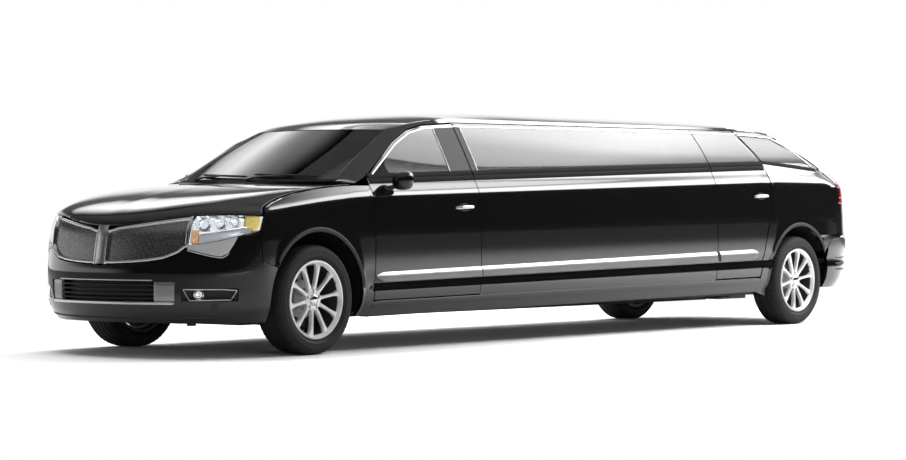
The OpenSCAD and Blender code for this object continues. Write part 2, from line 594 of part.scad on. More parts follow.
// Split grille: one wing on each side of the centre, a rim around upright bars.
// Outline columns: angle from the centre line, low edge, high edge
wing_outline = [for (p = [[3, 620, 836], [8, 622, 859], [16, 628, 876], [24, 638, 894], [31, 654, 908],
  [37, 690, 920], [41, 735, 927]]) [p[0], p[1], rise(p[2])]];
wing_rim_angle = 0.9;
wing_rim = 12;
// Heights where the nose bends
nose_bends = [850, 760];
bar_count = 22;
bar_share = 0.42;
wing_stand = 4;
function wing_low(a) = lookup(a, [for (p = wing_outline) [p[0], p[1]]]);
function wing_high(a) = lookup(a, [for (p = wing_outline) [p[0], p[2]]]);
function wing_rows(a) = let (low = wing_low(a), high = wing_high(a))
  [high, high - wing_rim, min(nose_bends[0], high - 2 * wing_rim), nose_bends[1], low + wing_rim, low];
module wing() {
  first = wing_outline[0][0];
  last = wing_outline[len(wing_outline) - 1][0];
  pitch = (last - first - 2 * wing_rim_angle) / bar_count;
  angles = concat([first], [for (i = [0 : bar_count - 1]) each
      [first + wing_rim_angle + i * pitch, first + wing_rim_angle + (i + 1 - bar_share) * pitch]],
    [last - wing_rim_angle, last]);
  shell([for (j = [0 : 5]) [for (a = angles) nose_point(a, wing_rows(a)[j], -wing_stand)]],
    [for (j = [0 : 5]) [for (a = angles) nose_point(a, wing_rows(a)[j], cover_depth)]],
    [for (i = [0 : bar_count - 1]) [2 * i + 1, 2 * i + 2, 1, 4]]);
}
module grille_wings() { color(bright) both_sides() wing(); }

// Headlamps in the corners. Columns: angle of the low edge, its height, angle of the high edge, its height
lamp_outline = [for (p = [[42, 742, 43, 929], [48, 751, 48, 931], [54, 766, 54, 934], [61, 786, 61, 935],
  [68, 806, 68, 934], [74, 820, 74, 932], [80, 836, 82.5, 926]]) [p[0], p[1], p[2], rise(p[3])]];
function lamp_rows(p) = [p[3], rise(900), nose_bends[0], max(nose_bends[1], p[1] + 10), p[1]];
function lamp_point(p, j, inset) = let (z = lamp_rows(p)[j])
  nose_point(mix(p[0], p[2], (z - p[1]) / (p[3] - p[1])), z, inset);
fog_angle = 48;
fog_r = 34;
fog_length = 60;
module front_lamps() {
  fog = nose_point(fog_angle, 420, 16);
  color(lamp_clear) both_sides() {
    shell([for (j = [0 : 4]) [for (p = lamp_outline) lamp_point(p, j, 2)]],
      [for (j = [0 : 4]) [for (p = lamp_outline) lamp_point(p, j, cover_depth)]]);
    translate(fog) rotate([0, 90, 10 - fog_angle]) cylinder(h = fog_length, r = fog_r, $fn = 48);
  }
}

// Rear cover with brackets to the rails
rail_rear = 990;
function rear_cover_top(a) = lookup(abs(a), [[0, bumper_top_z], [75, bumper_top_z], [90, 700], [100, 648]]);
function rear_cover_point(a, z, inset) = abs(a) > 90
  ? [rx(460), sign(a) * (straight_w(rx(460), z) - inset), z] : tail_point(a, z, inset);
module rear_bumper() {
  angles = [-100, -90, -75, -60, -45, -30, -15, 0, 15, 30, 45, 60, 75, 90, 100];
  heights = [300, 340, 450, 600];
  function rows(a) = concat(heights, [mix(600, rear_cover_top(a), 0.8), rear_cover_top(a)]);
  color(paint) {
    shell([for (j = [0 : 5]) [for (a = angles) rear_cover_point(a, rows(a)[j], 0)]],
      [for (j = [0 : 5]) [for (a = angles) rear_cover_point(a, rows(a)[j], skin_thickness)]]);
    for (side = [-1, 1]) translate([rx(rail_rear) + seat_gap, side * rail_y - rail_size[0] / 2, 430])
      cube([tail_at(rail_y, 450) - rx(rail_rear) - skin_thickness / 2 - seat_gap, rail_size[0], 60]);
  }
}

// Liftgate on the tail surface: rows from low to high, columns across
gate_rows = [for (z = [745, 860, 1000, 1150, 1235, 1275, 1350, 1450, 1545, 1585]) rise(z)];
gate_window = [5, 8];
gate_side_inset = 75;
// Direction to the inner skin: height, distance forward, distance down
gate_depth = rise_rows([[1150, 60, 0], [1300, 20, 35], [1585, -10, 40]]);
function gate_forward(z) = lookup(z, [for (p = gate_depth) [p[0], p[1]]]);
function gate_down(z) = lookup(z, [for (p = gate_depth) [p[0], p[2]]]);
function gate_w(z) = side_w(gate_edge_x(z), z) - panel_gap;
function gate_point(s, z, f) = [tail_at(s * gate_w(z), z) - f * gate_forward(z),
  s * (gate_w(z) - f * gate_side_inset), z - f * gate_down(z)];
// Top edge of the liftgate at a distance from the centre line
function gate_top_x(y) = let (w = gate_w(gate_top_z))
  lookup(y, [for (s = gate_steps) [s * w, tail_at(s * w, gate_top_z)]]);
module liftgate() {
  color(paint) shell([for (z = gate_rows) [for (s = gate_steps) gate_point(s, z, 0)]],
    [for (z = gate_rows) [for (s = gate_steps) gate_point(s, z, 1)]],
    [[1, len(gate_steps) - 2, gate_window[0], gate_window[1]]]);
}
module liftgate_glass() {
  e = gate_steps[7] - 4 * pane_gap / drip_w;
  steps = concat([-e], [for (i = [2 : 6]) gate_steps[i]], [e]);
  heights = [gate_rows[gate_window[0]] + 1.5 * pane_gap, gate_rows[6], gate_rows[7],
    gate_rows[gate_window[1]] - 1.5 * pane_gap];
  color(tinted) shell([for (z = heights) [for (s = steps) gate_point(s, z, 0.08)]],
    [for (z = heights) [for (s = steps) gate_point(s, z, 0.3)]]);
}
lamp_taper = [1, 0.9, 0.8, 0.6, 0.4, 0.2];
lamp_depth = 40;
module tail_lamp() {
  rows = [0, 0.33, 0.67, 1];
  function places(r) = [for (t = spread(0, 1, 5))
    let (x_low = mix(rx(lamp_notch) + 2 * seat_gap, gate_edge_x(rise(1025)) - 2 * panel_gap, t),
         x_high = mix(rx(lamp_notch) + 2 * seat_gap, gate_edge_x(rise(1230)) - 3 * panel_gap, t),
         x = mix(x_low, x_high, r))
    [x, mix(lamp_low_z + 2 * seat_gap, pillar_base_z(x_high) - 2, r)]];
  side_panel([for (r = rows) places(r)], [0, 0, 0, 0], [for (r = rows) lamp_depth], [], lamp_taper);
}
module tail_lamps() { color(lamp_red) both_sides() tail_lamp(); }

// Floor with the firewall, the rails, the raised luggage floor and the rear panel with the latch block
floor_thickness = 40;
liner_thickness = 8;
liner_outer_r = arch_radius + 14;
firewall_x = front_axle_x + liner_outer_r + seat_gap;
firewall_thickness = 30;
inner_w = track / 2 - 136;
luggage_z = 530;
kick_x = rx(-330);
rear_panel_w = half_width - 365;
firewall_top_z = rise(1050);
narrow_x = rear_axle_x - liner_outer_r - 11;
rear_panel_x = rx(985);
luggage_end_x = rx(900);
latch = gate_point(0.3, 860, 1);
jack_pad = [120, 100, 16];
jack_y = half_width - 225;
jack_places = [fx(760), rx(-760)];
module floor_pan() {
  low = floor_z - floor_thickness;
  color(trim_black) {
    translate([firewall_x, -rocker_inner_y, low])
      cube([narrow_x - firewall_x, 2 * rocker_inner_y, floor_thickness]);
    translate([narrow_x - 1, -inner_w, low]) cube([kick_x - narrow_x + 31, 2 * inner_w, floor_thickness]);
    translate([firewall_x, -inner_w, low]) cube([firewall_thickness, 2 * inner_w, firewall_top_z - low]);
    translate([kick_x, -inner_w, low]) cube([30, 2 * inner_w, luggage_z - low]);
    translate([kick_x, -inner_w, luggage_z - 30]) cube([luggage_end_x - kick_x, 2 * inner_w, 30]);
    translate([luggage_end_x - 1, -rear_panel_w, luggage_z - 30])
      cube([rear_panel_x + 31 - luggage_end_x, 2 * rear_panel_w, 30]);
    translate([rear_panel_x, -rear_panel_w, luggage_z - 30])
      cube([30, 2 * rear_panel_w, bumper_top_z - luggage_z + 30]);
    for (side = [-1, 1]) {
      translate([rail_front_x + seat_gap, side * rail_y - rail_size[0] / 2, rail_z])
        cube([firewall_x - rail_front_x - seat_gap + 1, rail_size[0], rail_size[1]]);
      translate([kick_x, side * rail_y - rail_size[0] / 2, luggage_z - 110])
        cube([rx(rail_rear) - kick_x, rail_size[0], 81]);
      for (x = jack_places)
        translate([x - jack_pad[0] / 2, side * jack_y - jack_pad[1] / 2, low - jack_pad[2]])
          cube([jack_pad[0], jack_pad[1], jack_pad[2] + 1]);
    }
    translate([rear_panel_x, latch[1] - 60, bumper_top_z - 1]) cube([30, 60, latch[2] - bumper_top_z + 1]);
    translate([rear_panel_x, latch[1] - 60, latch[2] - 40])
      cube([latch[0] - seat_gap - rear_panel_x, 60, 40]);
  }
}

liner_outer_y = half_width - 115;
module wheel_liners() {
  color(trim_black) for (x = [front_axle_x, rear_axle_x]) both_sides()
    translate([x, -inner_w - seat_gap, axle_z]) rotate([90, 0, 0])
      rotate_extrude(angle = 208, start = -14, $fn = 64)
        translate([liner_outer_r - liner_thickness, 0]) square([liner_thickness, liner_outer_y - inner_w]);
}

// Running gear
kingpin_offset = 60;
kingpin_y = track / 2 - kingpin_offset;
kingpin_r = 28;
kingpin_height = rim_diameter / 2 + 66;
spindle_length = kingpin_offset + 70;
cross_low_z = axle_z - rim_diameter / 2 + 74;
arm_height = 40;
eye_r = 16;
eye_plate = [70, 20, 60];
// Drop of the front eye below its crossmember
eye_drop = 15;
// Towing eye: a lug with a cross hole
module towing_eye() {
  difference() {
    translate([0, -eye_plate[1] / 2, 0]) cube(eye_plate);
    translate([eye_plate[0] / 2, 0, eye_plate[2] / 2]) rotate([90, 0, 0])
      cylinder(h = eye_plate[1] + 2, r = eye_r, center = true, $fn = 48);
  }
}
module front_subframe() {
  color(steel) {
    translate([fx(-200), -420, cross_low_z]) cube([400, 840, 50]);
    for (side = [-1, 1]) {
      translate([fx(-60), side > 0 ? 400 : -kingpin_y - 8, cross_low_z])
        cube([120, kingpin_y - 392, arm_height]);
      for (d = [-180, 120]) translate([fx(d), side > 0 ? rail_y - 50 : -rail_y - 10, cross_low_z + 10])
        cube([60, 60, rail_z - seat_gap - cross_low_z - 10]);
    }
    translate([fx(-200) - eye_plate[0] + 5, 0, cross_low_z - eye_drop]) towing_eye();
  }
}
module spindle() { rotate([90, 0, 0]) cylinder(h = spindle_length, r = spindle_r, $fn = 48); }
module brake_disc() { translate([0, -14, 0]) rotate([90, 0, 0]) cylinder(h = 24, r = disc_r, $fn = 64); }
// Left front knuckle: upright on the kingpin, spindle and brake disc
module knuckle_shape() {
  translate([front_axle_x, -kingpin_y, 0]) {
    translate([0, 0, cross_low_z + arm_height + seat_gap])
      cylinder(h = kingpin_height, r = kingpin_r, $fn = 48);
    translate([0, 0, axle_z]) {
      spindle();
      brake_disc();
    }
  }
}
module knuckle_left() { color(steel) knuckle_shape(); }
module knuckle_right() { color(steel) mirror([0, 1, 0]) knuckle_shape(); }
axle_tube_r = 45;
module rear_axle() {
  color(steel) {
    translate([rx(-120), -500, 250]) cube([240, 1000, 60]);
    both_sides() {
      translate([rear_axle_x, -480, axle_z]) rotate([90, 0, 0])
        cylinder(h = kingpin_y - 480 + 1, r = axle_tube_r, $fn = 48);
      translate([rear_axle_x, -kingpin_y, axle_z]) {
        spindle();
        brake_disc();
      }
      translate([rx(-45), -500, 300]) cube([90, 40, 80]);
      translate([rx(-110), -360, 300]) cube([60, 60, luggage_z - 30 - 300]);
    }
    translate([rx(120) - 5, 0, 250]) towing_eye();
  }
}
engine_size = [560, 660, 560];
module engine() {
  color(steel) translate([fx(-380), -engine_size[1] / 2, cross_low_z + 50 + seat_gap]) cube(engine_size);
}
pipe_r = 32;
pipe_y = 200;
pipe_z = floor_z - floor_thickness - 55;
module exhaust() {
  color(steel) {
    translate([fx(700), pipe_y, pipe_z]) rotate([0, 90, 0])
      cylinder(h = rx(300) - fx(700), r = pipe_r, $fn = 48);
    translate([rx(290), pipe_y - 160, pipe_z - 25]) cube([420, 320, 90]);
    for (x = [fx(900), rx(-900)]) translate([x, pipe_y - 10, pipe_z])
      cube([40, 20, floor_z - floor_thickness - seat_gap - pipe_z]);
  }
}

// Wheels: rim, spokes and hub in one piece around the spindle
rim_r = rim_diameter / 2;
rim_half = tyre_width / 2 - 15;
rim_lip = 12;
hub_r = 75;
spoke_face = rim_half - 20.5;
spoke_depth = 30;
spindle_clearance = 0.08;
module rim_profile() {
  polygon([[rim_r - 16, -rim_half], [rim_r + rim_lip, -rim_half], [rim_r + rim_lip, -rim_half + 12],
    [rim_r - 1, -rim_half + 16], [rim_r - 22, -20], [rim_r - 22, 20], [rim_r - 1, rim_half - 16],
    [rim_r + rim_lip, rim_half - 12], [rim_r + rim_lip, rim_half], [rim_r - 16, rim_half],
    [rim_r - 36, 25], [rim_r - 36, -25]]);
}
module spoke() {
  translate([0, 0, spoke_face - spoke_depth]) linear_extrude(height = spoke_depth)
    polygon([[hub_r - 12, -17], [rim_r - 14, -13], [rim_r - 14, 13], [hub_r - 12, 17]]);
}
module wheel_shape() {
  rotate([90, 0, 0]) difference() {
    union() {
      rotate_extrude($fn = 96) rim_profile();
      for (i = [0 : spoke_count - 1]) rotate(i * 360 / spoke_count) spoke();
      translate([0, 0, 10]) cylinder(h = spoke_face, r = hub_r, $fn = 64);
    }
    translate([0, 0, 9]) cylinder(h = 66, r = spindle_r + spindle_clearance, $fn = 64);
  }
}
module tyre_shape() {
  r = tyre_diameter / 2;
  w = tyre_width / 2;
  bead = rim_r - 1 + seat_gap;
  // Half section from the bead over the sidewall to the tread, then back along the inside
  wall = r - rim_r;
  half = [[bead, rim_half - 18], [rim_r + 0.12 * wall, rim_half - 14], [rim_r + 0.26 * wall, w - 4],
    [rim_r + 0.48 * wall, w], [rim_r + 0.81 * wall, w - 8], [rim_r + 0.95 * wall, w - 26], [r, w - 52]];
  inside = [[rim_r + 0.8 * wall, w - 34], [rim_r + 0.09 * wall, rim_half - 30]];
  n = len(half) - 1;
  rotate([90, 0, 0]) rotate_extrude($fn = 96)
    polygon(concat(half, [for (i = [0 : n]) [half[n - i][0], -half[n - i][1]]],
      [for (i = [1, 0]) [inside[i][0], -inside[i][1]]], inside));
}
module left_wheel(x) { translate([x, -track / 2, axle_z]) children(); }
module right_wheel(x) { mirror([0, 1, 0]) left_wheel(x) children(); }
module wheel_front_left() { color(bright) left_wheel(front_axle_x) wheel_shape(); }
module wheel_front_right() { color(bright) right_wheel(front_axle_x) wheel_shape(); }
module wheel_rear_left() { color(bright) left_wheel(rear_axle_x) wheel_shape(); }
module wheel_rear_right() { color(bright) right_wheel(rear_axle_x) wheel_shape(); }
module tyre_front_left() { color(rubber) left_wheel(front_axle_x) tyre_shape(); }
module tyre_front_right() { color(rubber) right_wheel(front_axle_x) tyre_shape(); }
module tyre_rear_left() { color(rubber) left_wheel(rear_axle_x) tyre_shape(); }
module tyre_rear_right() { color(rubber) right_wheel(rear_axle_x) tyre_shape(); }

// Cabin
dash_half_width = half_width - 275;
dash_front_x = firewall_x + firewall_thickness + seat_gap;
dash_outline = [[-60, 700], [150, 760], [250, 880], [270, 930], [228, 1020], [180, 1068], [50, 1085],
  [-60, 1050]];
module dashboard() {
  color(trim_black) translate([0, dash_half_width, 0]) rotate([90, 0, 0])
    linear_extrude(height = 2 * dash_half_width)
      polygon([for (p = dash_outline) [max(dash_front_x, fx(550) + p[0]), rise(p[1])]]);
}
column_angle = 65;
column_length = 140;
driver_y = -0.394 * half_width;
column_x = fx(799);
column_z = rise(975);
module steering_wheel() {
  hub = [column_x + sin(column_angle) * column_length, driver_y, column_z + cos(column_angle) * column_length];
  color(trim_black) translate(hub) rotate([0, column_angle, 0]) {
    rotate_extrude($fn = 64) translate([steering_wheel_d / 2 - 15, 0]) circle(r = 15, $fn = 24);
    for (a = [0, 120, 240]) rotate(a + 180) translate([0, -15, -8]) cube([steering_wheel_d / 2 - 15, 30, 16]);
    translate([0, 0, 1 - column_length]) cylinder(h = column_length + 10, r = 45, $fn = 48);
  }
}
// Seat in side view, from the front of the cushion over the backrest and down
seat_outline = [[0, 180], [40, 330], [120, 380], [420, 350], [500, 400], [640, 900], [700, 950], [790, 930],
  [700, 420], [620, 180]];
function seat_z(z) = rise(floor_z + z) - floor_z;
module seat(width) {
  rotate([90, 0, 0]) linear_extrude(height = width) polygon([for (p = seat_outline) [p[0], seat_z(p[1])]]);
}
front_seat_x = fx(1050);
module front_seats() {
  color(leather) for (y = [driver_y, -driver_y]) translate([front_seat_x, y + seat_width / 2, floor_z]) {
    seat(seat_width);
    translate([60, -seat_width + 60, 0]) cube([480, seat_width - 120, 190]);
    translate([705, -seat_width / 2 - 130, seat_z(920)]) cube([80, 260, seat_z(1110) - seat_z(920)]);
  }
}
partition_x = fx(1990);
module partition() {
  color(trim_black) difference() {
    translate([partition_x, -lounge_half_width, floor_z])
      cube([50, 2 * lounge_half_width, rise(1500) - floor_z]);
    translate([partition_x - 1, 160 - lounge_half_width, rise(1000)])
      cube([52, 2 * (lounge_half_width - 160), rise(1380) - rise(1000)]);
  }
}
lounge_half_width = half_width - 325;
lounge_x = [fx(2550), rx(-1500)];
bench_x = rx(-1140);
module lounge_seats() {
  color(leather) {
    translate([bench_x, lounge_half_width, floor_z]) {
      seat(2 * lounge_half_width);
      translate([60, -2 * lounge_half_width + 60, 0]) cube([480, 2 * lounge_half_width - 120, 190]);
    }
    length = lounge_x[1] - lounge_x[0];
    translate([lounge_x[0], lounge_half_width - 1, floor_z]) cube([length, 131, seat_z(720)]);
    translate([lounge_x[0], lounge_half_width - 440, floor_z]) cube([length, 440, 400]);
  }
}

// Door mirror: a foot that follows the door skin and a rounded housing
mirror_x = fx(740);
mirror_foot = [90, 60];
housing_y = 190;
module mirror_shape() {
  places = [for (k = [9.25, 9.9]) line_row(k, [mirror_x, mirror_x + mirror_foot[0]])];
  z = places[1][0][1];
  w = side_w(mirror_x, z);
  depth = mirror_foot[1] - seat_gap;
  side_panel(places, [-mirror_foot[1], -mirror_foot[1]], [depth, depth]);
  translate([mirror_x, -w - 30, z - 20]) hull() {
    for (d = [[20, -20, 0], [20, -housing_y + 60, 10]]) translate(d) sphere(r = 18, $fn = 24);
    for (d = [[50, -25, 110], [50, -housing_y + 70, 105]]) translate(d) sphere(r = 18, $fn = 24);
    for (d = [[85, -20, 5], [85, -housing_y + 70, 10], [90, -22, 105], [90, -housing_y + 75, 100]])
      translate(d) sphere(r = 10, $fn = 20);
  }
}
module mirror_left() { color(paint) mirror_shape(); }
module mirror_right() { color(paint) mirror([0, 1, 0]) mirror_shape(); }

floor_pan();
rockers();
front_fenders();
stretch_panels();
quarter_panels();
rear_pillars();
roof();
windshield();
side_windows();
front_bumper();
nose_carrier();
grille_wings();
intake_grille();
front_lamps();
rear_bumper();
tail_lamps();
wheel_liners();
front_subframe();
engine();
rear_axle();
exhaust();
dashboard();
steering_wheel();
front_seats();
lounge_seats();
partition();
hood();
liftgate();
liftgate_glass();
front_door_left();
front_door_right();
front_glass_left();
front_glass_right();
mirror_left();
mirror_right();
rear_door_left();
rear_door_right();
rear_glass_left();
rear_glass_right();
knuckle_left();
knuckle_right();
wheel_front_left();
wheel_front_right();
wheel_rear_left();
wheel_rear_right();
tyre_front_left();
tyre_front_right();
tyre_rear_left();
tyre_rear_right();
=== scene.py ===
import math

import bpy
import numpy as np
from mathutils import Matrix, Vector


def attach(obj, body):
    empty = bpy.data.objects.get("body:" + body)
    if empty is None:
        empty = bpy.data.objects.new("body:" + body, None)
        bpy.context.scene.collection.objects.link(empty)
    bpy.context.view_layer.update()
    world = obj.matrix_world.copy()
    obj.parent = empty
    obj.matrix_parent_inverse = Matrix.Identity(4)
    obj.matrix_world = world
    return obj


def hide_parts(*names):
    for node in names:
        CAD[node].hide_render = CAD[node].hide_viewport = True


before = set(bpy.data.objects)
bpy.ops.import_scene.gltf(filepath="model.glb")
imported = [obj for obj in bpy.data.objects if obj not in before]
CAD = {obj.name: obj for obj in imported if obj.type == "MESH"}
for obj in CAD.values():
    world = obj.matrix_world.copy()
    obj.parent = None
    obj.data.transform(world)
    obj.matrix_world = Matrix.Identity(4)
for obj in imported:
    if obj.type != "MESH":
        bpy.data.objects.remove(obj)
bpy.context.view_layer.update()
MM = 0.001

# x runs from the nose to the tail, the left side is at -y and z is up.
# Driving sizes, in millimetres, as in the part's source
LENGTH, WHEELBASE, FRONT_OVERHANG, BODY_H, HALF_W = 8320.0, 6043.0, 1100.0, 1700.0, 965.0
AXLE_Z, ARCH_R, GAP, SKIN, DOOR_T, FRAME_T, GLASS_T = 370.0, 455.0, 6.0, 28.0, 110.0, 40.0, 6.0
PANEL_BEVEL, TRIM_BEVEL, GLASS_SINK, GLASS_LAP = 2.0, 1.0, 0.3, 0.08
FRONT_AXLE = FRONT_OVERHANG - LENGTH / 2
REAR_AXLE = FRONT_AXLE + WHEELBASE
TAIL = LENGTH - FRONT_OVERHANG - WHEELBASE
TRACK = 1660.0
AXIS_X, AXIS_Y, AXIS_Z = np.eye(3)


def fx(d):
    """x of a place that far behind the front axle."""
    return FRONT_AXLE + np.asarray(d, float)


def rx(d):
    """x of a place that far behind the rear axle."""
    return REAR_AXLE + np.asarray(d, float)


def arrays(*values):
    return np.broadcast_arrays(*(np.asarray(v, float) for v in values))


def mix(a, b, t):
    return a + (b - a) * t


def clamp01(t):
    return np.clip(t, 0.0, 1.0)


def ease(t):
    t = clamp01(t)
    return t * t * (3 - 2 * t)


def curve(x, xk, yk):
    """Smooth monotone curve through knots. The knots are one row, or one row for each point."""
    x = np.asarray(x, float)
    shape = x.shape
    x = x.ravel()
    n = np.shape(xk)[-1]
    xk = np.broadcast_to(np.asarray(xk, float), (x.size, n))
    yk = np.broadcast_to(np.asarray(yk, float), (x.size, n))
    h = np.diff(xk)
    d = np.diff(yk) / h
    w1 = 2 * h[:, 1:] + h[:, :-1]
    w2 = h[:, 1:] + 2 * h[:, :-1]
    same = d[:, 1:] * d[:, :-1] > 0
    left = np.where(same, d[:, :-1], 1.0)
    right = np.where(same, d[:, 1:], 1.0)
    inner = np.where(same, (w1 + w2) / (w1 / left + w2 / right), 0.0)
    m = np.concatenate([d[:, :1], inner, d[:, -1:]], 1)
    x = np.clip(x, xk[:, 0], xk[:, -1])
    i = np.clip((xk <= x[:, None]).sum(1) - 1, 0, n - 2)
    r = np.arange(x.size)
    hh = h[r, i]
    t = (x - xk[r, i]) / hh
    y = (yk[r, i] * (1 + 2 * t) * (1 - t) ** 2 + hh * m[r, i] * t * (1 - t) ** 2
         + yk[r, i + 1] * t * t * (3 - 2 * t) + hh * m[r, i + 1] * t * t * (t - 1))
    return y.reshape(shape)


def table(x, rows, a=0, b=1):
    """A smooth curve through two columns of a table."""
    return curve(x, [r[a] for r in rows], [r[b] for r in rows])


def line(x, rows, a=0, b=1):
    """Straight runs through two columns of a table."""
    return np.interp(x, [r[a] for r in rows], [r[b] for r in rows])


# Lines along the body side: height at the front doors, at the rear doors, inset, drop at the nose
SIDE = np.array([
    [235, 285, 80, 0], [330, 385, 24, 0], [415, 490, 9, 0], [470, 548, 20, 0], [515, 610, 4, 0],
    [555, 655, 2, 0], [680, 760, 0, 0], [800, 880, 0, 40], [930, 1020, 6, 120], [1045, 1160, 16, 170],
    [1150, 1285, 66, 190], [1215, 1365, 98, 190], [BODY_H - 150, BODY_H - 110, 265, 190],
    [BODY_H - 75, BODY_H - 60, 310, 190]], float)
GROOVE, BELT, WINDOW_LOW, WINDOW_TOP, DRIP = 3, 10, 11, 12, 13
ROCKER_TOP, DOOR_LOW, GLASS_LOW, DOOR_TOP, CANT = 1.15, 1.27, 10.6, 12.48, 12.6
LINE_FRONT, LINE_REAR, NOSE_DROP = fx(550), rx(-543), 1650.0


def line_knots(x):
    x = np.asarray(x, float)
    t = clamp01((x - LINE_FRONT) / (LINE_REAR - LINE_FRONT))[..., None]
    u = clamp01((LINE_FRONT - x) / NOSE_DROP)[..., None]
    return mix(SIDE[:, 0], SIDE[:, 1], t) - SIDE[:, 3] * u ** 1.3


def line_z(k, x):
    return line_knots(x)[..., k]


def line_at(x, k):
    """Height of a fractional line at places x; x and k broadcast."""
    x, k = arrays(x, k)
    z = line_knots(x)
    a = np.minimum(np.floor(k).astype(int), DRIP - 1)
    low = np.take_along_axis(z, a[..., None], -1)[..., 0]
    high = np.take_along_axis(z, (a + 1)[..., None], -1)[..., 0]
    return mix(low, high, k - a)


def straight_w(x, z):
    """Half width of the body before nose and tail are rounded."""
    x, z = arrays(x, z)
    inset = np.repeat(SIDE[None, :, 2], x.size, 0)
    inset[:, GROOVE] = mix(6.5, inset[:, GROOVE], ease((x.ravel() - fx(470)) / 130))
    return curve(z, line_knots(x).reshape(-1, len(SIDE)), HALF_W - inset)


NOSE_LINE = [[200, 100], [300, 25], [420, 0], [560, 0], [640, 15], [760, 35], [850, 55], [900, 90], [950, 155],
             [1040, 300]]
TAIL_LINE = [[280, 157], [340, 87], [450, 37], [600, 0], [720, 7], [760, 50], [1000, 80], [1150, 115], [1250, 167],
             [1400, 377], [1500, 577], [1600, 827], [1700, 1077]]
TAIL_ROUND = [[1150, 500], [1400, 100], [1640, -300]]
NOSE_ROUND, NOSE_POWER, TAIL_POWER = fx(-450), 2.0, 2.6


def nose_x(z):
    return fx(table(z, NOSE_LINE) - FRONT_OVERHANG)


def tail_x(z):
    return rx(TAIL - table(z, TAIL_LINE))


def tail_round(z):
    return rx(line(z, TAIL_ROUND))


def rounded(t, power):
    return np.maximum(0, 1 - clamp01(t) ** power) ** (1 / power)


def side_w(x, z):
    """Half width of the body."""
    x, z = arrays(x, z)
    w = straight_w(x, z)
    w = w * np.where(x < NOSE_ROUND, rounded((NOSE_ROUND - x) / (NOSE_ROUND - nose_x(z)), NOSE_POWER), 1)
    tr = tail_round(z)
    return w * np.where(x > tr, rounded((x - tr) / (tail_x(z) - tr), TAIL_POWER), 1)


def tail_at(y, z):
    """x of the skin at the tail."""
    y, z = arrays(y, z)
    tr = tail_round(z)
    return tr + (tail_x(z) - tr) * rounded(np.abs(y) / straight_w(tr, z), TAIL_POWER)


def side(x, z, inset):
    """Places on the left side, set in from the skin."""
    x, z, inset = arrays(x, z, inset)
    return np.stack([x, inset - side_w(x, z), z], -1)


def nose(a, z, inset):
    """Places round the nose by angle and height, set in from the skin."""
    a, z, inset = arrays(np.radians(a), z, inset)
    w = straight_w(np.full(z.shape, NOSE_ROUND), z)
    return np.stack([NOSE_ROUND - (NOSE_ROUND - nose_x(z) - inset) * np.cos(a), (w - inset) * np.sin(a), z], -1)


def tail(a, z, inset):
    """Places round the tail by angle and height, set in from the skin."""
    a, z, inset = arrays(np.radians(a), z, inset)
    tr = tail_round(z)
    e = 2 / TAIL_POWER
    w = straight_w(tr, z) - inset
    return np.stack([tr + (tail_x(z) - tr - inset) * np.maximum(0, np.cos(a)) ** e,
                     w * np.sign(a) * np.abs(np.sin(a)) ** e, z], -1)


def fill(knots, counts):
    """Values through knots with that many steps between each pair."""
    out = [float(knots[0])]
    for a, b, n in zip(knots[:-1], knots[1:], counts):
        out += [float(mix(a, b, (i + 1) / n)) for i in range(n)]
    return out


def steps(knots, counts):
    return np.array(fill(knots, counts))


def lattice(across, down):
    """Two grids of values; each direction is its first value, its last value and their number."""
    return np.meshgrid(np.linspace(*across), np.linspace(*down))


# Shader nodes
def node_out(tree, kind, inputs=None, out=0, **settings):
    """A new shader node's output; inputs gives, by name or number, a value or the socket that feeds it."""
    n = tree.nodes.new("ShaderNode" + kind)
    for key, value in settings.items():
        setattr(n, key, value)
    for key, value in (inputs or {}).items():
        if isinstance(value, bpy.types.NodeSocket):
            tree.links.new(value, n.inputs[key])
        else:
            n.inputs[key].default_value = value
    return n.outputs[out] if n.outputs else None


def places(tree, kind="Object"):
    return node_out(tree, "TexCoord", out=kind)


def noise(tree, scale, detail=3.0, rough=0.5, stretch=None):
    at = places(tree)
    if stretch:
        at = node_out(tree, "Mapping", {"Vector": at, "Scale": stretch})
    return node_out(tree, "TexNoise", {"Vector": at, "Scale": scale, "Detail": detail, "Roughness": rough}, "Fac")


def between(tree, source, low, high):
    """A colour or a grey value that runs from low to high with a texture."""
    ramp = tree.nodes.new("ShaderNodeValToRGB")
    for e, place, value in zip(ramp.color_ramp.elements, (0.3, 0.7), (low, high)):
        e.position = place
        e.color = (*value, 1) if isinstance(value, tuple) else (value, value, value, 1)
    tree.links.new(source, ramp.inputs["Fac"])
    return ramp.outputs["Color"]


def finish(name, base, rough, values, grain, socket, low, high, relief=None):
    m = bpy.data.materials.new(name)
    m.use_nodes = True
    tree = m.node_tree
    shader = tree.nodes["Principled BSDF"]
    for key, value in {TINT: (*base, 1), ROUGH: rough, **values}.items():
        shader.inputs[key].default_value = value
    texture = noise(tree, *grain)
    tree.links.new(between(tree, texture, low, high), shader.inputs[socket])
    if relief:
        if len(relief) == 3:
            texture = node_out(tree, "TexVoronoi", {"Vector": places(tree), "Scale": relief[2]},
                               feature="DISTANCE_TO_EDGE")
        normal = node_out(tree, "Bump", {"Strength": relief[0], "Distance": relief[1], "Height": texture})
        tree.links.new(normal, shader.inputs["Normal"])
    return m


ROUGH, TINT, METAL, COAT, COAT_ROUGH, GLOSS, SHEEN, CLEAR = (
    "Roughness", "Base Color", "Metallic", "Coat Weight", "Coat Roughness", "Specular IOR Level", "Sheen Weight",
    "Transmission Weight")
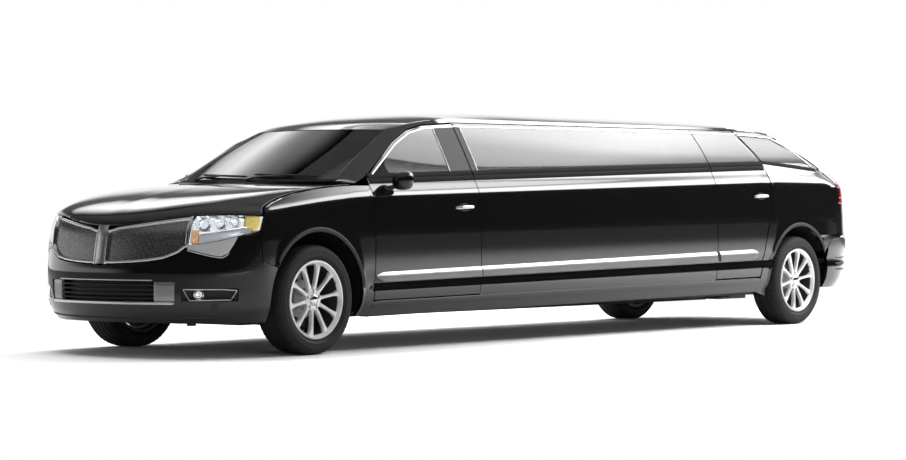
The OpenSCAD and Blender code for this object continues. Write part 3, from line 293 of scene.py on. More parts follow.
# Each finish: the record's slot, name, colour, roughness, other shader values, grain (noise scale, detail, roughness,
# stretch), what the grain varies and between which values, and bump (strength, height in metres, pore scale)
FINISHES = {
    "paint": ("paint", "black_paint", (0.006, 0.006, 0.007), 0.12, {COAT: 1.0, COAT_ROUGH: 0.02, GLOSS: 0.3},
              (900, 2), TINT, (0.0025, 0.0025, 0.003), (0.0055, 0.0055, 0.0065)),
    "trim": ("trim", "satin_black_trim", (0.02, 0.02, 0.021), 0.45, {}, (1400, 3), ROUGH, 0.38, 0.55, (0.15, 0.0004)),
    "seal": ("trim", "black_seal", (0.008, 0.008, 0.008), 0.7, {GLOSS: 0.12}, (700, 4, 0.6), ROUGH, 0.6, 0.8,
             (0.12, 0.0004)),
    "cabin": ("trim", "cabin_trim", (0.035, 0.034, 0.033), 0.6, {}, (420, 6, 0.6), TINT, (0.026, 0.025, 0.025),
              (0.045, 0.044, 0.042), (0.35, 0.0008)),
    "chrome": ("chrome", "polished_chrome", (0.86, 0.87, 0.88), 0.06, {METAL: 1.0}, (60, 3), ROUGH, 0.04, 0.1),
    "dark_chrome": ("chrome", "dark_chrome", (0.5, 0.5, 0.51), 0.3, {METAL: 0.9}, (90, 3), ROUGH, 0.18, 0.3),
    "alloy": ("alloy", "wheel_alloy", (0.86, 0.86, 0.87), 0.28, {METAL: 0.3, COAT: 0.7}, (160, 4), ROUGH, 0.15, 0.27,
              (0.04, 0.0003)),
    "tyre": ("tyre", "tyre_rubber", (0.012, 0.012, 0.012), 0.75, {}, (260, 5, 0.6), TINT, (0.008, 0.008, 0.008),
             (0.02, 0.02, 0.019), (0.3, 0.0008)),
    "steel": ("steel", "brushed_steel", (0.42, 0.42, 0.43), 0.35, {METAL: 1.0}, (120, 4, 0.6, (1, 1, 12)), ROUGH, 0.28,
              0.5),
    "iron": ("iron", "cast_iron", (0.12, 0.12, 0.125), 0.6, {METAL: 0.6}, (200, 6, 0.6), TINT, (0.08, 0.08, 0.085),
             (0.16, 0.16, 0.165), (0.5, 0.001)),
    "leather": ("leather", "black_leather", (0.02, 0.019, 0.018), 0.42, {SHEEN: 0.15}, (30, 4), TINT,
                (0.014, 0.013, 0.0125), (0.03, 0.028, 0.026), (0.25, 0.0012, 260)),
    "reflector": ("chrome", "lamp_reflector", (0.9, 0.91, 0.92), 0.12, {METAL: 1.0}, (70, 2), ROUGH, 0.08, 0.18),
    "amber": ("clear_lens", "amber_plastic", (0.95, 0.7, 0.1), 0.2, {COAT: 0.6}, (50, 3), TINT, (0.92, 0.64, 0.06),
              (1.0, 0.8, 0.18)),
    "orange": ("clear_lens", "amber_orange", (0.9, 0.42, 0.12), 0.2, {COAT: 0.6}, (60, 3), TINT, (0.82, 0.34, 0.07),
               (0.97, 0.52, 0.2)),
    "red": ("red_lens", "red_plastic", (0.42, 0.01, 0.01), 0.16, {COAT: 0.8}, (90, 3), TINT, (0.32, 0.006, 0.006),
            (0.55, 0.02, 0.018)),
    "mirror": ("chrome", "mirror_face", (0.88, 0.89, 0.9), 0.02, {METAL: 1.0}, (30, 2), ROUGH, 0.01, 0.03),
    "satin_grey": ("trim", "satin_grey_trim", (0.035, 0.035, 0.037), 0.5, {GLOSS: 0.25}, (900, 3), ROUGH, 0.45, 0.58,
                   (0.08, 0.0003)),
    "silver": ("chrome", "satin_silver", (0.42, 0.42, 0.43), 0.34, {METAL: 0.85}, (300, 3), ROUGH, 0.28, 0.42),
    "lens_grey": ("clear_lens", "lens_grey", (0.5, 0.5, 0.51), 0.3, {COAT: 0.6}, (45, 3), TINT, (0.5, 0.5, 0.51),
                  (0.54, 0.54, 0.55)),
    "plate": ("paint", "blank_plate", (0.78, 0.78, 0.77), 0.4, {}, (240, 4), TINT, (0.74, 0.74, 0.73),
              (0.82, 0.82, 0.81)),
    "carpet": ("trim", "cabin_carpet", (0.02, 0.02, 0.021), 0.95, {SHEEN: 0.3}, (700, 6, 0.7), TINT,
               (0.012, 0.012, 0.013), (0.035, 0.034, 0.034), (0.8, 0.003))}
for key, slot, colour, rough in (("side_glass", "tinted_glass", (0.055, 0.06, 0.062), 0.02),
                                 ("screen_glass", "tinted_glass", (0.05, 0.055, 0.056), 0.015),
                                 ("clear_lens", "clear_lens", (0.93, 0.95, 0.97), 0.02),
                                 ("red_lens", "red_lens", (0.5, 0.012, 0.01), 0.06),
                                 ("lamp_glass", "clear_lens", (0.95, 0.96, 0.98), 0.01)):
    FINISHES[key] = (slot, key, colour, rough, {CLEAR: 1.0, "IOR": 1.48}, (40, 2), ROUGH, rough, rough * 1.15)
MAT = {key: finish(*row[1:]) for key, row in FINISHES.items()}
# Finishes of painted shells: outside, inside and edges
CABIN_SHELL, OUTER_SHELL = ("paint", "cabin", "paint"), ("paint", "trim", "paint")


def piece(name, verts, faces, mats, body, nodes=(), face_mats=None, sharp=32.0, bevel=0.0):
    """A mesh piece that rides on a body. Vertices are in millimetres."""
    mesh = bpy.data.meshes.new(name)
    mesh.from_pydata((np.asarray(verts, float) * MM).tolist(), [], [list(map(int, f)) for f in faces])
    mats = [mats] if isinstance(mats, str) else list(mats)
    for m in mats:
        mesh.materials.append(MAT[m])
    if face_mats is not None:
        mesh.polygons.foreach_set("material_index", np.asarray(face_mats, np.int32))
    mesh.polygons.foreach_set("use_smooth", np.ones(len(mesh.polygons), bool))
    mesh.set_sharp_from_angle(angle=math.radians(sharp))
    mesh.validate()
    mesh.update()
    o = bpy.data.objects.new(name, mesh)
    bpy.context.scene.collection.objects.link(o)
    if bevel:
        b = o.modifiers.new("edge", "BEVEL")
        b.width = bevel * MM
        b.segments = 2
        b.limit_method = "ANGLE"
        b.angle_limit = math.radians(50)
    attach(o, body)
    if nodes:
        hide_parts(*([nodes] if isinstance(nodes, str) else nodes))
    return o


def whole(grid):
    """One true value for each cell of a grid."""
    return np.ones((grid.shape[0] - 1, grid.shape[1] - 1), bool)


def shell_data(outer, inner, keep=None, flip=False):
    """Vertices, faces and face kinds (0 outer, 1 inner, 2 wall) of a closed shell between two grids."""
    keep = whole(outer) if keep is None else keep
    rows, cols = keep.shape
    n = (rows + 1) * (cols + 1)
    at = np.arange(n).reshape(rows + 1, cols + 1)
    faces, kinds = [], []

    def quad(f, kind):
        faces.append(f[::-1] if flip else f)
        kinds.append(kind)
    for j in range(rows):
        for i in range(cols):
            if not keep[j, i]:
                continue
            a, b, c, d = at[j, i], at[j + 1, i], at[j + 1, i + 1], at[j, i + 1]
            quad((d, c, b, a), 0)
            quad((a + n, b + n, c + n, d + n), 1)
            for p, q, jj, ii in ((a, b, j, i - 1), (b, c, j + 1, i), (c, d, j, i + 1), (d, a, j - 1, i)):
                if not (0 <= jj < rows and 0 <= ii < cols and keep[jj, ii]):
                    quad((p, q, q + n, p + n), 2)
    return np.concatenate([outer.reshape(-1, 3), inner.reshape(-1, 3)]), faces, kinds


def join(parts):
    """Several (vertices, faces, kinds) as one."""
    verts, faces, kinds, base = [], [], [], 0
    for v, f, k in parts:
        verts.append(v)
        faces += [tuple(i + base for i in q) for q in f]
        kinds += list(k)
        base += len(v)
    return np.concatenate(verts), faces, kinds


def flipped(v):
    return v * np.array([1, -1, 1])


def shell(name, outer, inner, mats, body, nodes=(), keep=None, mirror=False, both=False, bevel=0.0):
    parts = []
    if not mirror:
        parts.append(shell_data(outer, inner, keep))
    if mirror or both:
        parts.append(shell_data(flipped(outer), flipped(inner), keep, True))
    v, f, k = join(parts)
    mats = [mats] if isinstance(mats, str) else list(mats)
    kinds = [min(i, len(mats) - 1) for i in k]
    return piece(name, v, f, mats, body, nodes, kinds, bevel=bevel)


def grid_places(ks, xs_of_k, clear=0.0):
    """Grids of x and z for fractional lines and the columns on each, kept under the roof edge."""
    x = np.array([xs_of_k(k) for k in ks])
    z = line_at(x, np.asarray(ks, float)[:, None])
    return x, np.minimum(z, cant_z(x) - clear)


# Doors and side panels
FRONT_DOOR, FRONT_SHUT, REAR_DOOR = fx(585), fx(1745), rx(-1240)
FRONT_WINDOW_REAR, PILLAR_W, UNDERCUT, REAR_SHUT = fx(1490), 60.0, 26.0, 12.0
DOOR_CLEAR, GLASS_CLEAR = 13.0, 19.0
COWL_X = fx(430)
PILLAR_EDGE = [[430, 1152], [480, 1165], [600, 1215], [800, 1335], [1000, 1455], [1200, 1540], [1400, 1580]]
REAR_DOOR_EDGE = [[400, -580], [550, -550], [750, -500], [950, -430], [1150, -410], [1300, -430], [1370, -470],
                  [1600, -600]]
REAR_CANT = [[-400, 80], [-150, 92], [0, 104], [190, 122]]
ROOF_FRONT = fx(1750)


def pillar_x(z):
    return fx(line(z, PILLAR_EDGE, 1, 0))


def cant_z(x):
    """Height of the roof edge above the side windows."""
    x = np.asarray(x, float)
    front = np.interp(x, [fx(p[0]) for p in PILLAR_EDGE] + [ROOF_FRONT],
                      [p[1] for p in PILLAR_EDGE] + [float(line_at(ROOF_FRONT, CANT))])
    rear = BODY_H - line(x - REAR_AXLE, REAR_CANT)
    return np.where(x < ROOF_FRONT, front, np.where(x > rx(-400), rear, line_at(x, CANT)))


def front_edge(k):
    if k <= BELT:
        return float(FRONT_DOOR)
    return float(max(FRONT_DOOR, pillar_x(line_at(fx(1000), k)) + 3 * GAP))


def rear_edge_x(z):
    return rx(line(z, REAR_DOOR_EDGE))


def rear_edge(k):
    return float(rear_edge_x(line_at(REAR_AXLE, k)) - REAR_SHUT)


def front_door_xs(k):
    x0 = front_edge(k)
    w0 = min(x0 + PILLAR_W, FRONT_WINDOW_REAR - PILLAR_W)
    return fill([x0, w0, FRONT_WINDOW_REAR, FRONT_SHUT - GAP], [4, 28, 8])


def rear_door_xs(k):
    x1 = rear_edge(k)
    return fill([REAR_DOOR, REAR_DOOR + PILLAR_W, x1 - 70, x1], [4, 22, 4])


STRETCH_END = REAR_DOOR - GAP


def stretch_xs(k):
    return fill([FRONT_SHUT, FRONT_SHUT + PILLAR_W, STRETCH_END - PILLAR_W, STRETCH_END], [4, 60, 4])


RECESS = GLASS_T + 0.9


def window_rows(low, high):
    lower = fill([low, 2, 3, 4, 5, 6, 7, 8, 9, 10, GLASS_LOW], [4, 5, 5, 5, 4, 5, 5, 6, 7, 5])
    upper = fill([GLASS_LOW + 0.03, WINDOW_LOW, WINDOW_TOP, high], [3, 14, 4])
    return lower + upper


def window_panel(name, low, high, xs_of_k, hole_cols, body, node, mirror=False, both=False, undercut=0.0, clear=0.0):
    ks = window_rows(low, high)
    x, z = grid_places(ks, xs_of_k, clear)
    k = np.array(ks)
    inset = np.where(k > GLASS_LOW, RECESS, 0.0)[:, None]
    thick = np.where(k > BELT, FRAME_T, DOOR_T)[:, None]
    keep = whole(x)
    r0 = ks.index(float(WINDOW_LOW))
    r1 = ks.index(float(WINDOW_TOP))
    keep[r0:r1, hole_cols[0]:hole_cols[1]] = False
    outer = side(x, z, inset)
    inner = side(x, z, inset + thick)
    inner[:, -1, 0] -= undercut
    return shell(name, outer, inner, CABIN_SHELL, body, node, keep, mirror, both, bevel=PANEL_BEVEL)


def flush_glass(name, low, high, xs_of_k, body, node, mirror=False, clear=0.0):
    ks = fill([low, WINDOW_LOW, WINDOW_TOP, high], [2, 14, 3])
    x, z = grid_places(ks, xs_of_k, clear)
    return shell(name, side(x, z, GLASS_SINK), side(x, z, GLASS_SINK + GLASS_T), "side_glass", body, node, None, mirror)


for word, right in (("left", False), ("right", True)):
    window_panel(f"front_door_panel_{word}", DOOR_LOW, DOOR_TOP, front_door_xs, (4, 32), f"door_front_{word}",
                 f"front_door_{word}", right, undercut=UNDERCUT, clear=DOOR_CLEAR)
    window_panel(f"rear_door_panel_{word}", DOOR_LOW, DOOR_TOP, rear_door_xs, (4, 26), f"door_rear_{word}",
                 f"rear_door_{word}", right, undercut=UNDERCUT)
    flush_glass(f"front_door_pane_{word}", GLASS_LOW + GLASS_LAP, DOOR_TOP - GLASS_LAP,
                lambda k: fill([min(front_edge(k) + 20, FRONT_WINDOW_REAR - 80), FRONT_WINDOW_REAR + 30], [24]),
                f"door_front_{word}", f"front_glass_{word}", right, GLASS_CLEAR)
    flush_glass(f"rear_door_pane_{word}", GLASS_LOW + GLASS_LAP, DOOR_TOP - GLASS_LAP,
                lambda k: fill([REAR_DOOR + 3, rear_edge(k) - 30], [20]),
                f"door_rear_{word}", f"rear_glass_{word}", right)
window_panel("stretch_sides", ROCKER_TOP + 0.004, CANT - 0.006, stretch_xs, (4, 64), "body", "stretch_panels",
             both=True)

# Sills
ks = fill([0, 0.5, 1, ROCKER_TOP], [6, 6, 3])
x, z = grid_places(ks, lambda k: fill([fx(578) + 0.3, rx(-575)], [60]))
inner = np.stack([x, np.full(x.shape, -(HALF_W - 150)), z], -1)
shell("sill_covers", side(x, z, 0), inner, OUTER_SHELL, "body", "rockers", both=True, bevel=PANEL_BEVEL)

# Hood
HOOD_SHARES = [0, 0.022, 0.073, 0.186, 0.343, 0.515, 0.7, 1]
HOOD_FRONT = [[0, 872], [8, 873], [16, 890], [24, 908], [31, 922], [37, 934], [43, 941], [58, 946], [72, 945],
              [82, 938]]
HOOD_CORNER, COWL_BOW, COWL_W, COWL_POWER, HOOD_GAP = 81.0, 190.0, 797.0, 2.4, 2 * GAP
HOOD_EDGE, HOOD_FALL, HOOD_LIFT, HOOD_MID_Z = SKIN + 1.5 * GAP, 1.65, 0.57, 1152.0


def cowl_edge(y):
    return COWL_X - COWL_BOW * (1 - np.minimum(1, np.abs(y) / COWL_W) ** COWL_POWER)


HOOD_REAR_Z = float(line_z(BELT, COWL_X)) - 2
HOOD_REAR_W = float(side_w(COWL_X, line_z(BELT, COWL_X))) - HOOD_EDGE


def hood_rise(s):
    return (1 - (1 - clamp01(s)) ** HOOD_FALL) ** HOOD_LIFT


def hood_start(a):
    z = sum(table(np.abs(np.asarray(a, float) + d), HOOD_FRONT) for d in range(-8, 9, 2)) / 9
    return nose(a, z, 0.0)


def hood_end(a):
    t = np.sin(np.radians(a)) / math.sin(math.radians(HOOD_CORNER))
    y = t * HOOD_REAR_W
    return np.stack([cowl_edge(y) - HOOD_GAP, y, mix(HOOD_MID_Z, HOOD_REAR_Z, t * t)], -1)


def hood_edge_z(x):
    f, r = hood_start(HOOD_CORNER), hood_end(HOOD_CORNER)
    return mix(f[2], r[2], hood_rise((np.asarray(x, float) - f[0]) / (r[0] - f[0])))


def hood_grid(angles, shares, drop):
    a, s = np.meshgrid(angles, shares, indexing="ij")
    f, r = hood_start(a), hood_end(a)
    x = mix(f[..., 0], r[..., 0], s)
    z = mix(f[..., 2], r[..., 2], hood_rise(s))
    t = np.sin(np.radians(a)) / math.sin(math.radians(HOOD_CORNER))
    edge = mix(np.abs(hood_start(HOOD_CORNER)[1]), side_w(x, z) - HOOD_EDGE, clamp01(s / 0.06))
    straight = mix(f[..., 1], r[..., 1], s)
    blend = clamp01((np.abs(t) - 0.7) / 0.3) ** 2
    w = mix(straight, np.sign(t) * edge * np.abs(t) ** 0.9, blend)
    thin = np.where(s == 0, np.minimum(drop, 5.0), drop)
    # A low centre ridge that widens towards the screen, and a soft crease on each side
    y = np.abs(w)
    ridge = 1.5 * np.exp(-(y / mix(60.0, 160.0, s)) ** 2) * ease(s / 0.2)
    crease = 1.5 * ease((y - mix(380, 520, s)) / -240.0) * ease(s / 0.3)
    return np.stack([x, w * (1 - 0.011 * drop / SKIN), z - thin + (ridge + crease if drop == 0 else 0)], -1)


angles = steps([-81, -70, -43, -14, 14, 43, 70, 81], [6, 14, 16, 18, 16, 14, 6])
shares = steps(HOOD_SHARES, [4, 6, 9, 9, 9, 9, 12])
shell("hood_panel", hood_grid(angles, shares, 0.0), hood_grid(angles, shares, SKIN), OUTER_SHELL, "hood",
      "hood", bevel=PANEL_BEVEL)


# Fenders and quarters: fans from the arch to an outer path
def fan(path, refine):
    out = []
    for p, q in zip(path[:-1], path[1:]):
        n = p[3] * refine
        for i in range(n):
            out.append([mix(p[c], q[c], i / n) for c in range(3)])
    out.append(list(path[-1][:3]))
    return np.array(out)


ARCH_FLARE = 8.0
ARCH_ROWS = np.array([0, 0.015, 0.04, 0.08, 0.13, 0.2, 0.28, 0.36, 0.44, 0.52, 0.6, 0.68, 0.76, 0.84, 0.92, 0.97, 1.0])


def arch_panel(name, path, axle_x, node, thin=None):
    full = fan(path, 4)
    r = ARCH_ROWS[:, None]
    a = np.radians(full[:, 0])
    x = axle_x + mix(ARCH_R * np.cos(a), full[:, 1], r)
    z = mix(AXLE_Z + ARCH_R * np.sin(a), full[:, 2], r)
    flare = -ARCH_FLARE * (1 - ease((r - 0.03) / 0.22)) + 0 * x
    thick = SKIN * (1 if thin is None else thin(x))
    return shell(name, side(x, z, flare), side(x, z, flare + thick), OUTER_SHELL, "body", node,
                 both=True, bevel=PANEL_BEVEL)


FENDER_TOPS = [-470, -400, -300, -150, 50, 250, 430]


def ahead(a, z, gap):
    return float(nose(a, z, 0.0)[0]) + gap - FRONT_AXLE


SEAM_Z = 634.0
fender_path = [[150, ahead(82, SEAM_Z, 8.5), SEAM_Z, 2], [143, ahead(80.8, 826, 5.5), 826, 2],
               [138, ahead(82.5, 924, 9), 924, 1]]
fender_path += [[mix(134, 60, (d + 470) / 900), d, float(hood_edge_z(fx(d))) - GAP, 2] for d in FENDER_TOPS]
fender_path += [[50, 578, float(line_z(BELT, fx(578))) - 14, 5], [-15.5, 578, 245, 0]]
arch_panel("front_fender_skins", fender_path, FRONT_AXLE, "front_fenders")

GATE_EDGE = [[740, 1010], [1000, 985], [1150, 930], [1250, 810], [1300, 710], [1400, 520], [1500, 340], [1600, 150]]
LAMP_NOTCH, LAMP_LOW, GATE_CORNER, QUARTER_TOP, GATE_CORNER_Z, BUMPER_TOP = 645.0, 1015.0, 805.0, 1331.0, 1236.0, 735.0
GATE_TOP = 1585.0


def gate_edge_x(z):
    return rx(line(z, GATE_EDGE))


def pillar_base(x):
    return mix(QUARTER_TOP, GATE_CORNER_Z, (np.asarray(x, float) - rx(-447)) / (GATE_CORNER + 447))


def gate_taper(x):
    return mix(1.0, 0.3, clamp01((x - rx(600)) / 300))


quarter_path = [[195, -574.7, 288, 1], [187, -574.7, 408, 2]]
quarter_path += [[a, float(line(z, REAR_DOOR_EDGE)), z, 1 if z > 900 else 2]
                 for z, a in ((550, 178), (750, 160), (950, 145), (1150, 135), (1300, 128))]
quarter_path += [[124, float(rear_edge_x(QUARTER_TOP) - REAR_AXLE), QUARTER_TOP - 0.3, 6],
                 [80, LAMP_NOTCH, float(pillar_base(rx(LAMP_NOTCH))) - 0.3, 2], [72, LAMP_NOTCH, LAMP_LOW, 5],
                 [64, float(line(LAMP_LOW, GATE_EDGE)) - 2 * GAP, LAMP_LOW, 3],
                 [56, float(line(BUMPER_TOP, GATE_EDGE)) - 2 * GAP, BUMPER_TOP + GAP, 3],
                 [52, 735, BUMPER_TOP + GAP, 2], [40, 500 - GAP, 700 + GAP, 1], [30, 460 - GAP, 652, 0]]
arch_panel("quarter_skins", quarter_path, REAR_AXLE, "quarter_panels", gate_taper)

# Rear pillars with the quarter windows
PILLAR_TOP = [float(rear_edge_x(1600)), float(gate_edge_x(GATE_TOP)) - 2 * GAP]
PILLAR_LOW = [float(rear_edge_x(QUARTER_TOP)), float(rx(GATE_CORNER - 2 * GAP))]


def pillar_grid(cols, rows):
    """x and z on the rear pillar by share across and share up."""
    c, r = np.meshgrid(cols, rows)

    def height(cc):
        return mix(pillar_base(mix(PILLAR_LOW[0], PILLAR_LOW[1], cc)),
                   cant_z(mix(PILLAR_TOP[0], PILLAR_TOP[1], cc)) - 4, r)
    first = rear_edge_x(height(np.zeros_like(c)))
    last = gate_edge_x(height(np.ones_like(c))) - 2 * GAP
    return mix(first, last, c), height(c)


cols = steps([0, 0.07, 0.58, 0.8, 1], [3, 18, 6, 6])
rows = steps([0, 0.08, 0.12, 0.85, 1], [3, 1, 14, 4])
x, z = pillar_grid(cols, rows)
inset = np.where((rows > 0.1) & (rows < 0.9), RECESS, 0.0)[:, None]
thick = FRAME_T * np.interp(cols, [0, 0.6, 0.8, 1], [1, 1, 0.7, 0.2])[None, :]
keep = whole(x)
keep[4:18, 3:21] = False
shell("rear_pillar_skins", side(x, z, inset), side(x, z, inset + thick), CABIN_SHELL, "body",
      "rear_pillars", keep, both=True, bevel=PANEL_BEVEL)
glass_parts = []
x, z = pillar_grid(steps([0.02, 0.64], [20]), steps([0.125, 0.84], [14]))
glass_parts.append((side(x, z, GLASS_SINK), side(x, z, GLASS_SINK + GLASS_T)))
gks = fill([GLASS_LOW + GLASS_LAP, WINDOW_LOW, WINDOW_TOP, CANT - 0.1], [2, 14, 3])
x, z = grid_places(gks, lambda k: fill([FRONT_SHUT + 15, STRETCH_END - 3], [60]))
glass_parts.append((side(x, z, GLASS_SINK), side(x, z, GLASS_SINK + GLASS_T)))
parts = []
for o, i in glass_parts:
    parts.append(shell_data(o, i))
    parts.append(shell_data(flipped(o), flipped(i), None, True))
v, f, k = join(parts)
piece("side_panes", v, f, "side_glass", "body", "side_windows")

# Roof with the front pillars
DRIP_W, ROOF_END_W, ROOF_T, ROOF_EDGE_T, SCREEN_SINK = HALF_W - 310, 596.0, 36.0, 34.0, 3.0
SCREEN_FIRST, SCREEN_LAST = 1, 5


def roof_rows():
    def d(x):
        return float(line_z(DRIP, x))
    rows = [
        [COWL_X, -COWL_BOW, COWL_W, 1168, 1160], [fx(480), -185, 790, 1180, 1182], [fx(640), -165, 757, 1268, 1268],
        [fx(800), -145, 727, 1368, 1360], [fx(970), -125, 694, 1456, BODY_H - 246],
        [fx(1137), -105, 662, 1534, BODY_H - 156], [fx(1300), -85, DRIP_W, 1580, BODY_H - 105],
        [fx(1500), -60, DRIP_W, 1607, BODY_H - 65], [ROOF_FRONT, -30, DRIP_W, d(ROOF_FRONT), BODY_H - 36],
        [fx(2150), 0, DRIP_W, d(fx(2150)), BODY_H - 12], [fx(2700), 0, DRIP_W, d(fx(2700)), BODY_H],
        [rx(-1900), 0, DRIP_W, d(rx(-1900)), BODY_H], [rx(-1000), 0, DRIP_W, d(rx(-1000)), BODY_H - 2],
        [rx(-620), 10, DRIP_W - 3, d(rx(-620)), BODY_H - 8], [rx(-350), 60, DRIP_W - 8, BODY_H - 68, BODY_H - 22],
        [rx(-150), 120, DRIP_W - 16, BODY_H - 80, BODY_H - 44], [rx(20), 180, DRIP_W - 34, BODY_H - 93, BODY_H - 72]]
    end = float(tail_at(ROOF_END_W, GATE_TOP)) - 2 * GAP
    rows.append([end, float(tail_at(0, GATE_TOP)) - 2 * GAP - end, ROOF_END_W, BODY_H - 104, BODY_H - 100])
    return np.array(rows, float)


ROOF = roof_rows()


def roof_columns(u):
    """Values of the roof table at fractional column numbers: straight at the cowl, one bow over the screen."""
    n = np.arange(len(ROOF), dtype=float)
    x = np.interp(u, n, ROOF[:, 0])
    out = [x]
    x1, x5 = ROOF[SCREEN_FIRST, 0], ROOF[SCREEN_LAST, 0]
    for c in range(1, 5):
        knots, values = ROOF[SCREEN_FIRST:SCREEN_LAST + 1, 0], ROOF[SCREEN_FIRST:SCREEN_LAST + 1, c]
        chord = mix(values[0], values[-1], (knots - x1) / (x5 - x1))
        hump = (knots - x1) * (x5 - knots)
        bow = (hump * (values - chord)).sum() / (hump * hump).sum()
        screen = mix(values[0], values[-1], (x - x1) / (x5 - x1)) + bow * (x - x1) * (x5 - x)
        cowl = mix(ROOF[0, c], values[0], (x - ROOF[0, 0]) / (x1 - ROOF[0, 0]))
        rest = curve(x, ROOF[SCREEN_LAST:, 0], ROOF[SCREEN_LAST:, c])
        out.append(np.where(x < x1, cowl, np.where(x < x5, screen, rest)))
    return np.array(out).T


def roof_grid(u, t, drop):
    c = roof_columns(u)
    tt = np.asarray(t)[:, None]
    dome = 1 - np.abs(tt) ** COWL_POWER
    x = c[None, :, 0] + c[None, :, 1] * dome
    last = clamp01(np.asarray(u) - (len(ROOF) - 2))[None, :]
    x = mix(x, tail_at(tt * ROOF_END_W + 0 * x, GATE_TOP) - 2 * GAP - 0.8 * drop, last)
    y = tt * (c[None, :, 2] - drop * 0.5)
    z = mix(c[None, :, 3], c[None, :, 4], dome) - drop
    low = np.where(np.abs(tt) < 1, z, cant_z(c[None, :, 0]) + 2)
    return np.stack([x, y + 0 * x, np.maximum(z, low)], -1)


def cant_row(u, sign, inset):
    c = roof_columns(u)
    z = cant_z(c[:, 0])
    w = np.minimum(side_w(c[:, 0], z), c[:, 2] + 110)
    return np.stack([c[:, 0], sign * (w - inset), z], -1)


def roof_rounded(u, t, drop, inset):
    """Roof rows from the left edge over the crown to the right edge, with a rounded drip edge."""
    mid = roof_grid(u, t, drop)
    left, right = cant_row(u, -1, inset), cant_row(u, 1, inset)
    lo, ro = [], []
    for s in (0.0, 0.35, 0.7):
        lo.append(mix(left, mid[0], s))
        ro.append(mix(right, mid[-1], s))
    return np.concatenate([np.array(lo), mid, np.array(ro[::-1])])


roof_u = np.array(fill(list(range(len(ROOF))), [3, 4, 4, 4, 4, 4, 4, 4, 5, 5, 12, 8, 5, 4, 4, 4, 4]))
roof_t = steps([-1, -0.9, -0.72, -0.48, -0.24, 0, 0.24, 0.48, 0.72, 0.9, 1], [3, 3, 3, 3, 3, 3, 3, 3, 3, 3])
outer = roof_rounded(roof_u, roof_t, 0.0, 0.0)
inner = roof_rounded(roof_u, roof_t, ROOF_T, ROOF_EDGE_T)
keep = whole(outer)
EDGE_ROWS, RAIL_ROWS, SCREEN_ROWS = 3, 3, 24
r0 = EDGE_ROWS + RAIL_ROWS
keep[r0:r0 + SCREEN_ROWS, list(roof_u).index(SCREEN_FIRST):list(roof_u).index(SCREEN_LAST)] = False
shell("roof_skin", outer, inner, CABIN_SHELL, "body", "roof", keep, bevel=PANEL_BEVEL)
pane_u = steps([1.004, 2, 3, 4, 4.996], [5, 5, 5, 5])
pane_t = steps([-0.899, -0.48, 0, 0.48, 0.899], [8, 8, 8, 8])
shell("windshield_pane", roof_grid(pane_u, pane_t, SCREEN_SINK), roof_grid(pane_u, pane_t, SCREEN_SINK + GLASS_T),
      "screen_glass", "body", "windshield")

# Front cover
COVER_TOP = [[0, 606], [22, 624], [30, 640], [37, 676], [41, 718], [43, 730], [50, 742], [58, 765], [66, 790],
             [74, 808], [80.8, 824], [82, 630], [100, 590]]
COVER_DEPTH, COVER_TURN, COVER_END = 71.3, 82.0, 18.0


def cover(a, z, inset):
    """Places on the front cover; past the turn it runs on to the wheel arch."""
    a, z, inset = arrays(a, z, inset)
    p = nose(np.clip(a, -90, 90), z, inset)
    x = FRONT_AXLE - np.sqrt(ARCH_R ** 2 - (z - AXLE_Z) ** 2)
    x = mix(nose(COVER_TURN, z, 0.0)[..., 0], x, clamp01((np.abs(a) - COVER_TURN) / COVER_END))
    end = np.stack([x, np.sign(a) * (side_w(x, z) - inset), z], -1)
    return np.where(np.abs(a)[..., None] > COVER_TURN, end, p)


half = fill([0, 7, 14, 22, 30, 37, 40, 54, 68, 74, 80.8, 82, 100], [4, 4, 4, 4, 4, 2, 8, 8, 4, 4, 1, 6])
angles = np.array([-a for a in half[::-1]] + half[1:])
col = {a: int(np.argmin(np.abs(angles - a))) for a in (-37, 37, -68, -54, -40, 40, 54, 68)}


def cover_rows(a):
    top = line(np.abs(a), COVER_TOP)
    base = [top, mix(top, 505, 0.3)] + [np.full_like(top, z) for z in (525, 505, 462, 378, 370, 300, 232)]
    counts = [4, 6, 2, 3, 6, 1, 5, 5]
    rows = [base[0]]
    for p, q, n in zip(base[:-1], base[1:], counts):
        rows += [mix(p, q, (i + 1) / n) for i in range(n)]
    return np.array(rows)


zs = cover_rows(angles)
outer = cover(angles, zs, 0.0)
depth = np.full(zs.shape, SKIN)
depth[0, np.abs(angles) < 80] = COVER_DEPTH
inner = cover(angles, zs, depth)
keep = whole(zs)
keep[12:22, col[-37]:col[37]] = False
keep[15:21, col[40]:col[68]] = False
keep[15:21, col[-68]:col[-40]] = False
shell("front_cover", outer, inner, OUTER_SHELL, "body", "front_bumper", keep, bevel=PANEL_BEVEL)

# Rear cover
angles = steps([-100, -90, -75, -45, 0, 45, 75, 90, 100], [4, 6, 10, 14, 14, 10, 6, 4])


def rear_cover(a, z, inset):
    p = tail(np.clip(a, -90, 90), z, inset)
    x = mix(tail_round(z), rx(460), clamp01((np.abs(a) - 90) / 10))
    end = np.stack([x, np.sign(a) * (straight_w(x, z) - inset), z], -1)
    return np.where(np.abs(a)[..., None] > 90, end, p)


top = line(np.abs(angles), [[0, BUMPER_TOP], [75, BUMPER_TOP], [90, 700], [100, 648]])
zs = np.array([np.full_like(top, z) for z in (300, 320, 340, 380, 415, 450, 500, 550, 600)]
              + [mix(600, top, t) for t in (0.25, 0.5, 0.75, 0.9, 1)])
shell("rear_cover", rear_cover(angles, zs, 0.0), rear_cover(angles, zs, SKIN), OUTER_SHELL, "body",
      "rear_bumper", bevel=PANEL_BEVEL)


# Liftgate
def gate_w(z):
    return side_w(gate_edge_x(z), z) - GAP


GATE_DEPTH = [[1150, 60, 0], [1300, 20, 35], [GATE_TOP, -10, 40]]


